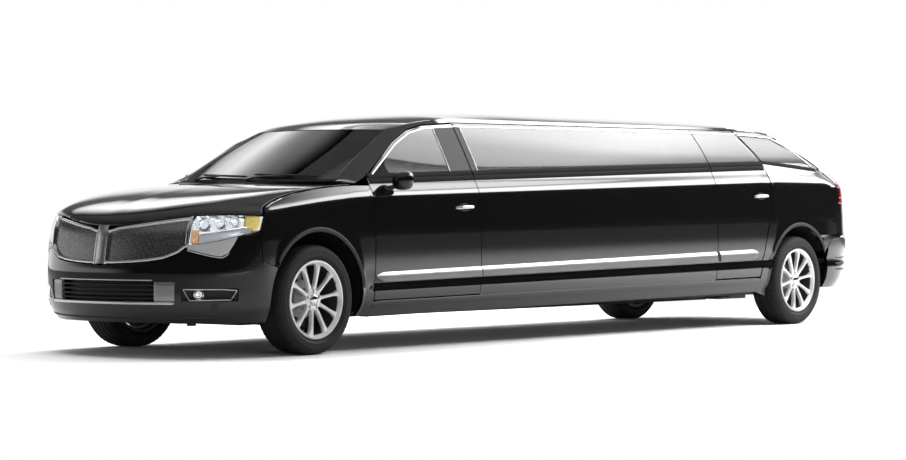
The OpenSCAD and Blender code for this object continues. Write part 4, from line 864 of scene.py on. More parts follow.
def gate(s, z, f):
    """Places on the liftgate: share across, height and depth from the skin (0) to the inside (1)."""
    w = gate_w(z)
    forward = line(z, GATE_DEPTH, 0, 1)
    down = line(z, GATE_DEPTH, 0, 2)
    return np.stack([tail_at(s * w, z) - f * forward, s * (w - f * 75), z - f * down], -1)


GATE_LOW, PANE_LOW, PANE_HIGH, PANE_GAP = 745.0, 1275.0, 1545.0, 1.2
gz = steps([GATE_LOW, 860, 1000, 1150, 1235, PANE_LOW, 1350, 1450, PANE_HIGH, GATE_TOP], [4, 5, 6, 5, 3, 5, 6, 6, 3])
gs = steps([-1, -0.86, -0.6, -0.3, 0, 0.3, 0.6, 0.86, 1], [6, 5, 4, 4, 4, 4, 5, 6])
s, z = np.meshgrid(gs, gz)
keep = whole(s)
g0, g1 = list(gz).index(PANE_LOW), list(gz).index(PANE_HIGH)
keep[g0:g1, 6:len(gs) - 7] = False
shell("liftgate_skin", gate(s, z, 0.0), gate(s, z, 1.0), CABIN_SHELL, "liftgate", "liftgate", keep,
      bevel=PANEL_BEVEL)
s, z = np.meshgrid(steps([-0.8555, 0.8555], [40]), steps([PANE_LOW + PANE_GAP, PANE_HIGH - PANE_GAP], [20]))
shell("liftgate_pane", gate(s, z, 0.08), gate(s, z, 0.3), "side_glass", "liftgate", "liftgate_glass")


# Sweeps, turned forms and points on the skin
def unit(v):
    return v / np.maximum(np.linalg.norm(v, axis=-1, keepdims=True), 1e-9)


def outward(v, f, k):
    """A closed form with its faces turned outward."""
    v = np.asarray(v, float)
    tri = np.array([(q[0], q[i], q[i + 1]) for q in f for i in range(1, len(q) - 1)])
    c = v - v.mean(0)
    volume = np.einsum("ij,ij->", c[tri[:, 0]], np.cross(c[tri[:, 1]], c[tri[:, 2]]))
    return v, ([tuple(q)[::-1] for q in f] if volume < 0 else f), k


def slab(outer, inner, kind=0):
    """A closed shell of one kind between two grids."""
    v, f, _ = shell_data(outer, inner)
    return outward(v, f, [kind] * len(f))


def tube(rings, closed=False, kind=0):
    """A closed form through rings of points, with ends unless the rings close."""
    n, m = rings.shape[:2]
    faces = []
    for i in range(n if closed else n - 1):
        a, b = i * m, (i + 1) % n * m
        faces += [(a + c, a + (c + 1) % m, b + (c + 1) % m, b + c) for c in range(m)]
    if not closed:
        faces += [tuple(range(m))[::-1], tuple(range((n - 1) * m, n * m))]
    return outward(rings.reshape(-1, 3), faces, [kind] * len(faces))


def sweep(path, normals, section, scale=1.0, closed=False, kind=0):
    """A section of (across, out) places carried along a path."""
    path = np.asarray(path, float)
    t = unit(np.roll(path, -1, 0) - np.roll(path, 1, 0)) if closed else unit(np.gradient(path, axis=0))
    across = unit(np.cross(t, normals))
    up = np.cross(across, t)
    sec = np.asarray(section, float)
    scale = np.broadcast_to(np.asarray(scale, float).reshape(-1, 1, 1), (len(path), 1, 1))
    rings = path[:, None] + (across[:, None] * sec[None, :, :1] + up[:, None] * sec[None, :, 1:]) * scale
    return tube(rings, closed, kind)


def lathe(profile, centre, axis, n=64, closed=True, kind=0):
    """A profile of (radius, height) places turned about an axis."""
    axis = unit(np.asarray(axis, float))
    a = unit(np.cross(axis, [0.0, 0.3, 1.0] if abs(axis[2]) < 0.9 else [1.0, 0, 0]))
    b = np.cross(axis, a)
    th = np.linspace(0, 2 * math.pi, n, endpoint=False)
    ring = a * np.cos(th)[:, None] + b * np.sin(th)[:, None]
    prof = np.asarray(profile, float)
    grid = np.asarray(centre, float) + prof[:, None, :1] * ring[None] + prof[:, None, 1:] * axis
    return tube(grid, closed, kind)


def ring(r, n=10, squeeze=1.0):
    return [(r * math.cos(2 * math.pi * i / n), squeeze * r * math.sin(2 * math.pi * i / n)) for i in range(n)]


def crown(width, height, sink=4.0):
    """A rounded section whose foot is sunk into the skin."""
    n = 8
    arc = [(-width / 2 * math.cos(math.pi * i / n), height * math.sin(math.pi * i / n)) for i in range(n + 1)]
    return [(-width / 2, -sink)] + arc + [(width / 2, -sink)]


def mirrored(d):
    return flipped(d[0]), [tuple(q)[::-1] for q in d[1]], d[2]


def twin(*parts):
    """Forms with their mirror images on the other side."""
    return [q for d in parts for q in (d, mirrored(d))]


def build(name, parts, mats, body, nodes=(), bevel=0.0, sharp=40.0):
    v, f, k = join(parts)
    return piece(name, v, f, mats, body, nodes, k, sharp, bevel)


def pair(stem, parts, mats, body, node=None, **values):
    """One piece on each side of the car; the body's and the node's names end in the side."""
    for word, turn in (("left", lambda d: d), ("right", mirrored)):
        build(f"{stem}_{word}", [turn(d) for d in parts], mats, f"{body}_{word}", f"{node}_{word}" if node else (),
              **values)


def on_side(x, z, out=0.0):
    """A place on the left side and the outward direction there."""
    x, z = arrays(x, z)
    e = 3.0
    n = unit(np.stack([side_w(x - e, z) - side_w(x + e, z), np.full(x.shape, -2 * e),
                       side_w(x, z - e) - side_w(x, z + e)], -1))
    return side(x, z, 0.0) + n * np.asarray(out, float)[..., None], n


def on_nose(a, z, out=0.0):
    a, z = arrays(a, z)
    n = unit(np.cross(nose(a + 0.3, z, 0.0) - nose(a - 0.3, z, 0.0), nose(a, z - 3, 0.0) - nose(a, z + 3, 0.0)))
    n = np.where(n[..., :1] > 0, -n, n)
    return nose(a, z, 0.0) + n * np.asarray(out, float)[..., None], n


def on_tail(y, z, out=0.0):
    y, z = arrays(y, z)
    e = 3.0
    n = unit(np.stack([np.full(y.shape, 2 * e), tail_at(y - e, z) - tail_at(y + e, z),
                       tail_at(y, z - e) - tail_at(y, z + e)], -1))
    return np.stack([tail_at(y, z), y, z], -1) + n * np.asarray(out, float)[..., None], n


def ends(n, share, low=0.25):
    """Factor that rounds off both ends of a moulding."""
    t = np.linspace(0, 1, n)
    d = np.minimum(t, 1 - t) / share
    return np.where(d < 1, low + (1 - low) * np.sqrt(np.maximum(0, 1 - (1 - clamp01(d)) ** 2)), 1.0)


# Mouldings along the side
DOOR_SPANS = {"front": (FRONT_DOOR + 8, FRONT_SHUT - GAP - 2), "stretch": (FRONT_SHUT + 2, STRETCH_END - 2),
              "rear": (REAR_DOOR + 2, None)}
STRIP = [(0.5, -0.3), (0.5, 0.187), (0.4, 0.187), (0.25, 0.186), (0.1, 0.182), (0.0, 0.17), (-0.08, 0.148),
         (-0.2, 0.09), (-0.35, 0.005), (-0.45, -0.06), (-0.5, -0.11), (-0.5, -0.3)]
BELT_SECTION = [(-40, -8), (-40, 1), (-36, 4), (-4, 5), (0, 2.5), (4, 5), (36, 4), (40, 1), (40, -8)]


def span(key, k):
    x0, x1 = DOOR_SPANS[key]
    return float(x0), float(rear_edge(k) - 4 if x1 is None else x1)


def along(key, k, n, out=0.0, drop=0.0, trim=(0.0, 0.0)):
    x0, x1 = span(key, k)
    x = np.linspace(x0 + trim[0], x1 - trim[1], n)
    return on_side(x, line_at(x, k) - drop, out)


def top_line(x):
    """Upper edge of the side glass along the whole side."""
    return np.minimum(line_at(x, 12.34), cant_z(x) - GLASS_CLEAR - 12)


def side_trim(key):
    counts = {"front": 28, "stretch": 70, "rear": 20}[key]
    strip_trim = {"front": (4.0, 0.0), "stretch": (0.0, 16.0), "rear": (18.0, 84.0)}[key]
    path, _ = along(key, 4.0, counts, 0.0, 0.0, strip_trim)
    scale = line_at(path[:, 0], 5.0) - line_at(path[:, 0], 3.05)
    t = np.linspace(0, 1, counts)
    length = path[-1, 0] - path[0, 0]
    if key == "front":
        scale = scale * np.sqrt(clamp01(0.06 + t * length / 70))
    if key == "rear":
        scale = scale * np.sqrt(clamp01(0.04 + (1 - t) * length / 90))
    strip = sweep(path, np.array([0.0, -1.0, 0.06]), STRIP, scale)
    path, n = along(key, 10.5, counts)
    belt = sweep(path, n, BELT_SECTION)
    x0, x1 = span(key, 12.0)
    if key == "front":
        x = np.linspace(x0, x1, 60)
        x = x[top_line(x) > line_at(x, 10.9)]
    else:
        x = np.linspace(x0, x1, counts)
    rail = sweep(*on_side(x, top_line(x)), crown(13, 5, 8))
    for word, part, mat in (("side_strip", strip, "silver"), ("belt_band", belt, "seal"),
                            ("window_rail", rail, "chrome")):
        if key == "stretch":
            build(f"{key}_{word}", twin(part), mat, "body")
        else:
            pair(f"{key}_{word}", [part], mat, f"door_{key}")


for key in DOOR_SPANS:
    side_trim(key)


def cover_patch(ks, xs, out, depth):
    x, z = np.meshgrid(xs, np.zeros(len(ks)))
    z = line_at(x, np.asarray(ks)[:, None])
    z = np.minimum(z, top_line(x) - 4)
    p, n = on_side(x, z, out)
    return slab(p, p - n * depth)


# Middle pillars, with a thin bright line on each edge
pillar_ks = fill([10.97, 12.33], [14])


def upright(x):
    z = np.minimum(line_at(x, np.array(pillar_ks)), top_line(np.full(15, float(x))) - 2)
    return sweep(*on_side(float(x), z), crown(7, 4.5, 6))


door_post = cover_patch(pillar_ks, fill([FRONT_WINDOW_REAR + 12, FRONT_SHUT - 9], [8]), 2.0, 7.0)
pair("door_post_cover", [door_post], "satin_grey", "door_front", bevel=TRIM_BEVEL)
pair("door_post_line", [upright(FRONT_WINDOW_REAR + 10)], "chrome", "door_front")
post = cover_patch(pillar_ks, fill([FRONT_SHUT + 3, FRONT_SHUT + 66], [4]), 2.0, 7.0)
build("post_covers", twin(post), "satin_grey", "body", bevel=TRIM_BEVEL)
build("post_lines", twin(upright(FRONT_SHUT + 68)), "chrome", "body")

# Quarter window: bright line around it and a black sill
c = np.array(fill([0.03, 0.56, 0.655], [16, 5]) + [0.665] * 9)
r = np.array([0.885] * 17 + [0.875, 0.85, 0.815, 0.77, 0.71] + fill([0.64, 0.14], [8]))
x, z = np.array([[q.item() for q in pillar_grid(np.array([a]), np.array([b]))] for a, b in zip(c, r)]).T
quarter_line = sweep(*on_side(x, z), crown(15, 5, 9), ends(len(c), 0.04))
x, z = pillar_grid(steps([0.0, 0.67], [20]), np.array([0.095]))
path, n = on_side(x[0], z[0])
build("quarter_window_lines", twin(quarter_line), "chrome", "body")
build("quarter_window_sills", twin(sweep(path, n, crown(34, 4, 9))), "seal", "body")
# Bright line along the tail edge of each rear pillar
x, z = pillar_grid(np.array([0.93]), steps([0.1, 0.97], [16]))
build("tail_edge_lines", twin(sweep(*on_side(x[:, 0], z[:, 0]), crown(11, 4, 5), ends(17, 0.1))), "chrome", "body")


# Door handles: a bowed bar over a dark cup
def handle(x0, z0):
    t = np.linspace(-1, 1, 17)
    bar = sweep(*on_side(x0 + 98 * t, z0 + 3 * t, 3 + 27 * (1 - t ** 4)), ring(11, 10, 0.62), ends(17, 0.06, 0.55))
    a = np.linspace(0, 2 * math.pi, 32, endpoint=False)
    rim, n = on_side(x0 + 62 * np.cos(a), z0 + 24 * np.sin(a), 1.0)
    cup = sweep(rim, n, crown(6, 2, 4), closed=True, kind=1)
    return [bar, cup]


for place, x0, z0 in (("front", fx(1560), 985.0), ("rear", fx(5455), 1074.0)):
    pair(f"{place}_handle", handle(x0, z0), ("chrome", "trim"), f"door_{place}")

# Split grille: rims, a fine mesh and the centre bar
WING = [[3, 620, 836], [8, 622, 859], [16, 628, 876], [24, 638, 894], [31, 654, 908], [37, 690, 920], [41, 735, 927]]
WING_IN, WING_OUT = 3.0, 41.0
wa = np.linspace(WING_IN, WING_OUT, 40)
low, high = line(wa, WING), line(wa, WING, 0, 2)
edge_z = np.concatenate([low, np.linspace(low[-1], high[-1], 12)[1:-1], high[::-1],
                         np.linspace(high[0], low[0], 12)[1:-1]])
edge_a = np.concatenate([wa, np.full(10, WING_OUT), wa[::-1], np.full(10, WING_IN)])
edge_z = edge_z + np.where(edge_z > 800, -7, 7) * (edge_a < WING_OUT - 0.1) * (edge_a > WING_IN + 0.1)
rim = sweep(*on_nose(edge_a, edge_z, -2.0),
            [(-9, -40), (-9, 2), (-6, 6), (0, 8), (6, 6), (9, 2), (9, -40)], closed=True)
mesh = []
for a in np.linspace(3.8, 40.4, 64):
    lo, hi = line(a, WING) + 8, line(a, WING, 0, 2) - 8
    mesh.append(sweep(*on_nose(a, np.linspace(lo, hi, 9), -14.0),
                      [(-1.6, -12), (-1.6, 0), (1.6, 0), (1.6, -12)], kind=1))
for z0 in np.arange(636, 920, 15.0):
    inside = wa[(low + 8 < z0) & (high - 8 > z0)]
    if len(inside) > 3:
        mesh.append(sweep(*on_nose(np.linspace(inside[0], inside[-1], 28), z0, -18.0),
                          [(-1.5, -10), (-1.5, 0), (1.5, 0), (1.5, -10)], kind=1))
ga, gt = lattice((WING_IN + 0.2, WING_OUT - 0.2, 30), (0, 1, 10))
gz = mix(line(ga, WING, 0, 2) - 4, line(ga, WING) + 4, gt)
back = slab(nose(ga, gz, 52.0), nose(ga, gz, 60.0), 2)
build("grille_wing_set", twin(rim, *mesh, back), ("chrome", "dark_chrome", "satin_grey"), "body", "grille_wings",
      sharp=50)
bz = np.linspace(618, 868, 16)
BAR_HALF = 2.5
ba, bzz = np.meshgrid(np.linspace(-BAR_HALF, BAR_HALF, 9), bz)
bar_out = -4.0 - 8 * (1 - (ba / BAR_HALF) ** 2)
bar = shell_data(nose(ba, bzz, bar_out)[::-1], nose(ba, bzz, 60.0)[::-1])
lines = []
for a in (-2.45, 2.45):
    lines.append(sweep(*on_nose(a, bz, 3.0), ring(4.5, 8), kind=1))
build("grille_centre_bar", [outward(*bar)] + lines, ("dark_chrome", "chrome"), "body")

# Headlamps: lens, silver bowl, round units, amber ends and a lower reflector
LAMP = np.array([[42, 742, 43, 929], [48, 751, 48, 931], [54, 766, 54, 934], [61, 786, 61, 935], [68, 806, 68, 934],
                 [74, 820, 74, 932], [80, 836, 82.5, 926]], float)


def lamp(u, v, inset):
    """Places on the headlamp by column and share down, set in from the skin."""
    u, v = arrays(u, v)
    p = [np.interp(u, np.arange(7), LAMP[:, c]) for c in range(4)]
    return nose(mix(p[2], p[0], v), mix(p[3], p[1], v), inset)


def lamp_patch(u0, u1, v0, v1, inset, depth, nu=16, nv=8, ribs=0, kind=0):
    u, v = lattice((u0, u1, nu), (v0, v1, nv))
    s = np.maximum(np.abs(2 * (u - u0) / (u1 - u0) - 1), np.abs(2 * (v - v0) / (v1 - v0) - 1))
    top = inset + 5 * s ** 6 + (2.5 * np.cos(u * ribs) if ribs else 0)
    return slab(lamp(u, v, top), lamp(u, v, inset + depth), kind)


u, v = lattice((0, 6, 40), (0, 1, 16))
build("headlamp_lenses", twin(slab(lamp(u, v, 2.0), lamp(u, v, 5.0))), "clear_lens", "body", "front_lamps")
s = np.maximum(np.abs(u / 3 - 1), np.abs(2 * v - 1))
bowl = slab(lamp(u, v, 7 + 44 * (1 - s ** 5)), lamp(u, v, 66.0))
units = []
for uu, vv, r in ((1.15, 0.36, 40), (2.45, 0.33, 38), (3.6, 0.33, 30)):
    p = lamp(uu, vv, 44.0)
    q = lamp(uu, vv, 10.0)
    axis = unit(q - p)
    units.append(lathe([(r + 5, -6), (r + 6, 18), (r + 2, 20), (r - 2, 17), (r - 8, 6), (r - 9, -6)], p, axis, 40,
                       True, 1))
    units.append(lathe([(r - 7, -4), (r - 7, 8), (r - 12, 14), (r - 20, 19), (2, 21)], p, axis, 40, False, 2))
u1 = np.linspace(0.25, 5.0, 24)
path = lamp(u1, 0.63, 20.0)
divider = sweep(path, unit(lamp(u1, 0.63, 0.0) - lamp(u1, 0.63, 20.0)), crown(12, 7, 12), kind=1)
lower = lamp_patch(0.6, 5.2, 0.68, 0.97, 18.0, 22.0, 60, 8, 40, 3)
amber_rear = lamp_patch(4.55, 5.85, 0.1, 0.72, 9.0, 26.0, 30, 10, 34, 4)
amber_inner = lamp_patch(0.12, 0.72, 0.5, 0.95, 9.0, 26.0, 12, 10, 30, 5)
build("headlamp_insides", twin(bowl, *units, divider, lower, amber_rear, amber_inner),
      ("reflector", "chrome", "lamp_glass", "silver", "amber", "orange"), "body", sharp=50)

# Fog lamps in dark pockets with a bright outline
ga, gz = lattice((40.2, 67.8, 28), (461, 379, 10))
s = np.maximum(np.abs((ga - 54) / 13.8), np.abs((gz - 420) / 41))
pocket = slab(nose(ga, gz, 6 + 44 * (1 - s ** 6)), nose(ga, gz, 62.0))
oa = np.array(fill([41, 60, 67, 64, 44, 41], [14, 5, 5, 14, 4])[:-1])
oz = np.array(fill([455, 455, 448, 388, 384, 455], [14, 5, 5, 14, 4])[:-1])
outline = sweep(*on_nose(oa, oz, 1.0), ring(4.5, 8), closed=True, kind=1)
centre, axis = on_nose(48.0, 420.0, -40.0)
fog = [lathe([(34, -20), (34, 22), (30, 25), (26, 20), (14, 4), (3, 0), (3, -20)], centre, axis, 40, True, 1),
       lathe([(29, 14), (29, 18), (20, 23), (2, 25)], centre, axis, 40, False, 2)]
centre, axis = on_nose(56.0, 340.0, 0.0)
cap = lathe([(26, -6), (26, 1), (23, 2.5), (2, 3)], centre, axis, 32, False, 0)
build("fog_lamp_set", twin(pocket, outline, *fog, cap), ("trim", "chrome", "lamp_glass"), "body")

# Low intake: rounded bars, end panels and bright strips
INTAKE_HIGH, INTAKE_LOW = 503, 372
bars = []
ba = np.linspace(-36.6, 36.6, 60)
for z0 in (392, 422, 452, 482):
    bars.append(sweep(*on_nose(ba, z0, -14.0), [(-6, -54), (-7, -4), (-4, 2), (0, 4), (4, 2), (7, -4), (6, -54)]))
ga, gz = lattice((-36.8, 36.8, 40), (INTAKE_HIGH, INTAKE_LOW, 6))
bars.append(slab(nose(ga, gz, 62.0), nose(ga, gz, 68.0)))
build("intake_bars", bars, "trim", "body", "intake_grille")
ga, gz = lattice((27.5, 36.9, 16), (INTAKE_HIGH, INTAKE_LOW, 10))
s = np.maximum(np.abs((ga - 32.2) / 4.7), np.abs((gz - 437.5) / 65.5))
build("intake_end_panels", twin(slab(nose(ga, gz, 4 + 5 * s ** 8), nose(ga, gz, 30.0))), "silver", "body")
strips = []
for z0, a0, a1, w in ((362, -37, 37, 20), (513, -27, 27, 9)):
    strips.append(sweep(*on_nose(np.linspace(a0, a1, 60), float(z0)), crown(w, 6, 5), ends(60, 0.03)))
strips.append(sweep(*on_nose(np.linspace(-62, 62, 80), 262 + 12 * (np.linspace(-1, 1, 80)) ** 2),
                    crown(16, 4, 5), ends(80, 0.05), kind=1))
build("intake_strips", strips, ("chrome", "satin_grey"), "body")

# Wheels: rim, ten slim spokes, hub, cap and nuts. Tyres: grooves, shoulder blocks and sidewall rings
WHEEL_Y, SPOKES, LUGS = -TRACK / 2, 10, 5
SPOKE_TURN, LUG_TURN, LUG_R, VALVE_R, VALVE_TURN = 0.16, 0.3, 56, 224, 0.5
RIM = [(246, -112), (266, -112), (266, -100), (256, -92), (240, -70), (236, -20), (236, 60), (243, 82), (236, 86),
       (230, 60), (226, 0), (228, -70), (242, -104)]
LIP = [(240, 84), (248, 88), (256, 96), (264, 104), (266, 112), (262, 117), (252, 116), (246, 108), (236, 92)]
SHIELD = [(142, -62), (228, -78), (228, -82), (142, -68)]
SPOKE = [(52, 40, 84), (80, 27, 91), (120, 22, 97), (160, 22, 101), (200, 27, 104), (222, 38, 104), (240, 56, 101)]
HUB = [(34, -60), (75, -60), (75, 76), (71, 84), (58, 88), (42, 88), (39, 80), (34, 78)]
CAP = [(37, 66), (37, 92), (33, 97), (20, 100), (2, 101)]
TREAD = [(253.3, 94.5), (258, 99), (266, 100.5), (270, 104), (276, 113), (284, 121), (292, 124.5), (294, 126.6),
         (298, 126.6), (300, 125.2), (311, 126.2), (322, 125), (324, 126.6), (328, 126.4), (330, 124), (340, 121.5),
         (348, 118.5), (357, 112), (364, 101.5), (367, 92), (369, 80), (370, 70), (370, 63), (361, 61), (361, 55),
         (370, 53), (370, 27), (361, 25), (361, 19), (370, 17)]
CAVITY = [(258, -86), (290, -110), (335, -111), (351, -90), (351, 90), (335, 111), (290, 110), (258, 86)]
BLOCKS, BLOCK_STEPS, BLOCK_DEPTH, SHOULDER_R, SHOULDER_Y = 60, 3, 5.0, 356, 66


def wheel_parts(centre):
    axis = np.array([0.0, -1.0, 0.0])
    parts = [lathe(LIP, centre, axis, 96), lathe(HUB, centre, axis, 64), lathe(CAP, centre, axis, 48, False, 1),
             lathe(RIM, centre, axis, 96, True, 2), lathe(SHIELD, centre, axis, 64, True, 2)]
    for i in range(SPOKES):
        a = 2 * math.pi * i / SPOKES + SPOKE_TURN
        radial = np.array([math.cos(a), 0.0, math.sin(a)])
        cross = np.array([-math.sin(a), 0.0, math.cos(a)])
        rings = []
        for r, w, face in SPOKE:
            sec = [(-0.42 * w, face - 30), (-0.5 * w, face - 9), (-0.38 * w, face - 2), (-0.14 * w, face),
                   (0.14 * w, face), (0.38 * w, face - 2), (0.5 * w, face - 9), (0.42 * w, face - 30)]
            rings.append([centre + radial * r + cross * s + axis * h for s, h in sec])
        parts.append(tube(np.array(rings)))
    for i in range(LUGS):
        a = 2 * math.pi * i / LUGS + LUG_TURN
        place = centre + LUG_R * np.array([math.cos(a), 0.0, math.sin(a)])
        parts.append(lathe([(11, 70), (11, 88.6), (1, 88.6)], place, axis, 24, False, 2))
        parts.append(lathe([(8, 74), (8, 93), (5.5, 96), (1, 96)], place, axis, 6, False, 1))
    stem = centre + VALVE_R * np.array([math.cos(VALVE_TURN), 0.0, math.sin(VALVE_TURN)])
    parts.append(lathe([(4, 80), (4, 112), (2, 115)], stem, axis, 12, False, 2))
    return parts


def tyre_part(centre):
    half = np.array(TREAD)
    prof = np.concatenate([half * [1, -1], half[::-1], np.array(CAVITY)[::-1]])
    n = BLOCKS * BLOCK_STEPS
    th = np.linspace(0, 2 * math.pi, n, endpoint=False)
    r = np.repeat(prof[:, :1], n, 1)
    shoulder = (prof[:, 0] > SHOULDER_R) & (np.abs(prof[:, 1]) > SHOULDER_Y)
    r[np.ix_(shoulder, np.arange(n) % BLOCK_STEPS == 0)] -= BLOCK_DEPTH
    grid = np.stack([r * np.cos(th), -np.repeat(prof[:, 1:], n, 1), r * np.sin(th)], -1) + centre
    return tube(grid, True)


for place, x0 in (("front", FRONT_AXLE), ("rear", REAR_AXLE)):
    centre = np.array([x0, WHEEL_Y, AXLE_Z])
    pair(f"{place}_rim", wheel_parts(centre), ("alloy", "chrome", "trim"), f"roll_{place}", f"wheel_{place}")
    pair(f"{place}_tread", [tyre_part(centre)], "tyre", f"roll_{place}", f"tyre_{place}", sharp=30)


# Mirrors: rounded housing, glass and foot
def oval(n, a, b, power):
    th = np.linspace(0, 2 * math.pi, n, endpoint=False)
    c, s = np.cos(th), np.sin(th)
    return np.stack([a * np.sign(c) * np.abs(c) ** (2 / power), b * np.sign(s) * np.abs(s) ** (2 / power)], -1)


MIRROR = np.array([fx(795), -1010.0, 1172.0])
MIRROR_SHELL = [(-54, 0.1), (-52, 0.3), (-46, 0.52), (-36, 0.7), (-22, 0.85), (-4, 0.95), (16, 0.995), (34, 1.0),
                (48, 0.985), (52, 0.955), (51, 0.92), (45, 0.91)]
MIRROR_W, MIRROR_H = 72, 62
sec = oval(40, MIRROR_W, MIRROR_H, 2.7)
sec[:, 1] -= 6 * (sec[:, 0] / MIRROR_W) - 4 * np.minimum(0, sec[:, 1] / MIRROR_H)
rings = np.array([[MIRROR + [dx, y * s, z * s] for y, z in sec] for dx, s in MIRROR_SHELL])
face = np.array([[MIRROR + [dx, y * s, z * s] for y, z in sec] for dx, s in ((44, 0.905), (47, 0.9), (47.6, 0.86))])
foot_path = np.array([[fx(772), -893, 1118], [fx(776), -915, 1120], [fx(784), -945, 1127],
                      [fx(790), -975, 1138]], float)
foot = sweep(foot_path, AXIS_Z, oval(20, 44, 17, 2.4), np.array([1.25, 1.0, 0.85, 0.8]), kind=2)
pair("mirror_housing", [tube(rings), tube(face, kind=1), foot], ("paint", "mirror", "trim"), "door_front", "mirror")

# Sail cover at the foot of each front pillar
rows = np.linspace(10.92, 11.55, 10)
x = np.array([np.linspace(front_edge(k) + 8, mix(fx(860), front_edge(k) + 20, (k - 10.92) / 0.63), 12) for k in rows])
z = np.minimum(line_at(x, rows[:, None]), top_line(x) - 6)
p, n = on_side(x, z, 3.0)
pair("sail_cover", [slab(p, p - n * 6)], "seal", "door_front", bevel=TRIM_BEVEL)

# Rounded lips round the wheel arches
lips = []
for x0, a0, a1 in ((FRONT_AXLE, 8, 147), (REAR_AXLE, 33, 150)):
    a = np.radians(np.linspace(a0, a1, 60))
    lips.append(sweep(*on_side(x0 + (ARCH_R + 16) * np.cos(a), AXLE_Z + (ARCH_R + 16) * np.sin(a), 6.0),
                      crown(30, 7, 9), ends(60, 0.05)))
build("arch_lips", twin(*lips), "satin_grey", "body")

# Lower lamp lenses on the front cover, with a bright line under each
UNDER = [[41.6, 740, 716], [48, 748, 694], [54, 763, 676], [58, 773, 670], [61.5, 784, 692], [64.5, 793, 752],
         [66, 798, 790]]
UNDER_IN, UNDER_OUT = UNDER[0][0], UNDER[-1][0]
a, t = lattice((UNDER_IN, UNDER_OUT, 60), (0, 1, 14))
z = mix(line(a, UNDER), line(a, UNDER, 0, 2), t)
edge = np.maximum(np.abs(2 * (a - UNDER_IN) / (UNDER_OUT - UNDER_IN) - 1), np.abs(2 * t - 1)) ** 8
under = slab(nose(a, z, -5 + 4 * edge + 0.8 * np.cos(a * 9)), nose(a, z, 6.0))
a = np.linspace(UNDER_IN - 0.2, 62, 40)
under_line = sweep(*on_nose(a, table(a, UNDER, 0, 2) - 8, 1.0), crown(8, 4, 4), ends(40, 0.05), kind=1)
build("lower_lamp_lenses", twin(under, under_line), ("lens_grey", "chrome"), "body", sharp=50)

# Tail lamps: red lens with two bright bands over a ribbed bowl
s, t = lattice((0, 1, 40), (0, 1, 24))
LENS_LOW, LENS_HIGH = LAMP_LOW + 2, 1240.0
z = mix(LENS_LOW, LENS_HIGH, t)
x = mix(float(rx(LAMP_NOTCH)) + 2, gate_edge_x(z) - 13 - 6 * t, s)
z = mix(LENS_LOW, pillar_base(x) - 4, t)
taper = gate_taper(x)
edge = np.maximum(np.abs(2 * s - 1), np.abs(2 * t - 1)) ** 8
lens = slab(side(x, z, -2.0 + 4 * edge)[::-1], side(x, z, 2.0 + 4 * edge)[::-1])
bowl = slab(side(x, z, (9 + 14 * (1 - edge)) * taper + 3 + 1.5 * np.cos(90 * s))[::-1],
            side(x, z, 34 * taper + 5)[::-1], 1)
bands = []
for t0 in (0.24, 0.62):
    row = int(t0 * 23)
    path, n = on_side(x[row, 3:-4], z[row, 3:-4], -1.0)
    bands.append(sweep(path, n, crown(9, 4, 4), ends(len(path), 0.1), kind=2))
build("tail_lamp_set", twin(lens, bowl, *bands), ("red_lens", "red", "chrome"), "body", "tail_lamps", sharp=50)


# Rear cover: three dark slots, reflectors and a lower strip
def on_rear(a, z, out=0.0):
    a, z = arrays(a, z)
    n = unit(np.cross(tail(a + 0.4, z, 0.0) - tail(a - 0.4, z, 0.0), tail(a, z + 3, 0.0) - tail(a, z - 3, 0.0)))
    n = np.where(n[..., :1] < 0, -n, n)
    return tail(a, z, 0.0) + n * np.asarray(out, float)[..., None], n


slots = []
for z0 in (452.0, 502.0, 552.0):
    slots.append(sweep(*on_rear(np.linspace(-86, 86, 90), z0, -1.0), crown(17, 3, 6), ends(90, 0.03)))
for a0 in (-58, 44):
    slots.append(sweep(*on_rear(np.linspace(a0, a0 + 14, 16), 640.0), crown(34, 5, 6), ends(16, 0.12), kind=1))
slots.append(sweep(*on_rear(np.linspace(-80, 80, 90), 730.0, -1.0), crown(12, 5, 6), ends(90, 0.03), kind=2))
build("rear_cover_trim", slots, ("trim", "red", "chrome"), "body")

# Liftgate: blank plate in a frame, bright garnish, high stop lamp and wiper
PLATE_Z = 880.0
rim = oval(72, 190, 98, 9)
frame_ring = sweep(*on_tail(rim[:, 0], PLATE_Z + rim[:, 1], 1.0), crown(22, 12, 8), closed=True)
y, z = lattice((-152, 152, 24), (956, 804, 12))
p, n = on_tail(y, z, 6.0)
plate = slab(p, p - n * 3, 1)
p, n = on_tail(y * 1.22, PLATE_Z + (z - PLATE_Z) * 1.25, 2.0)
pad = slab(p, p - n * 8, 2)
bolts = []
for by in (-90, 90):
    c, a = on_tail(float(by), 938.0, 6.0)
    bolts.append(lathe([(7, -1), (7, 2), (4, 3.5), (1, 3.5)], c, a, 16, False, 3))
garnish = sweep(*on_tail(np.linspace(-400, 400, 60), 1012.0), crown(38, 12, 6), ends(60, 0.05), kind=3)
stop = sweep(*on_tail(np.linspace(-170, 170, 40), 1564.0), crown(18, 5, 6), ends(40, 0.05), kind=4)
build("liftgate_trim", [frame_ring, plate, pad, *bolts, garnish, stop], ("paint", "plate", "trim", "chrome", "red"),
      "liftgate")
t = np.linspace(0, 1, 14)
arm = sweep(*on_tail(-300 * t, 1262 + 46 * t, 8 + 16 * np.sin(math.pi * np.minimum(1, t * 1.2))),
            oval(10, 9, 5, 3), np.linspace(1.2, 0.7, 14))
blade = sweep(*on_tail(np.linspace(-470, -130, 24), np.linspace(1312, 1296, 24), 7.0),
              [(-4, -6), (-6, 2), (-3, 7), (3, 7), (6, 2), (4, -6)], ends(24, 0.1))
c, a = on_tail(0.0, 1262.0, -4.0)
build("rear_wiper", [arm, blade, lathe([(20, -4), (20, 12), (15, 18), (2, 20)], c, a, 24, False)], "trim", "liftgate")


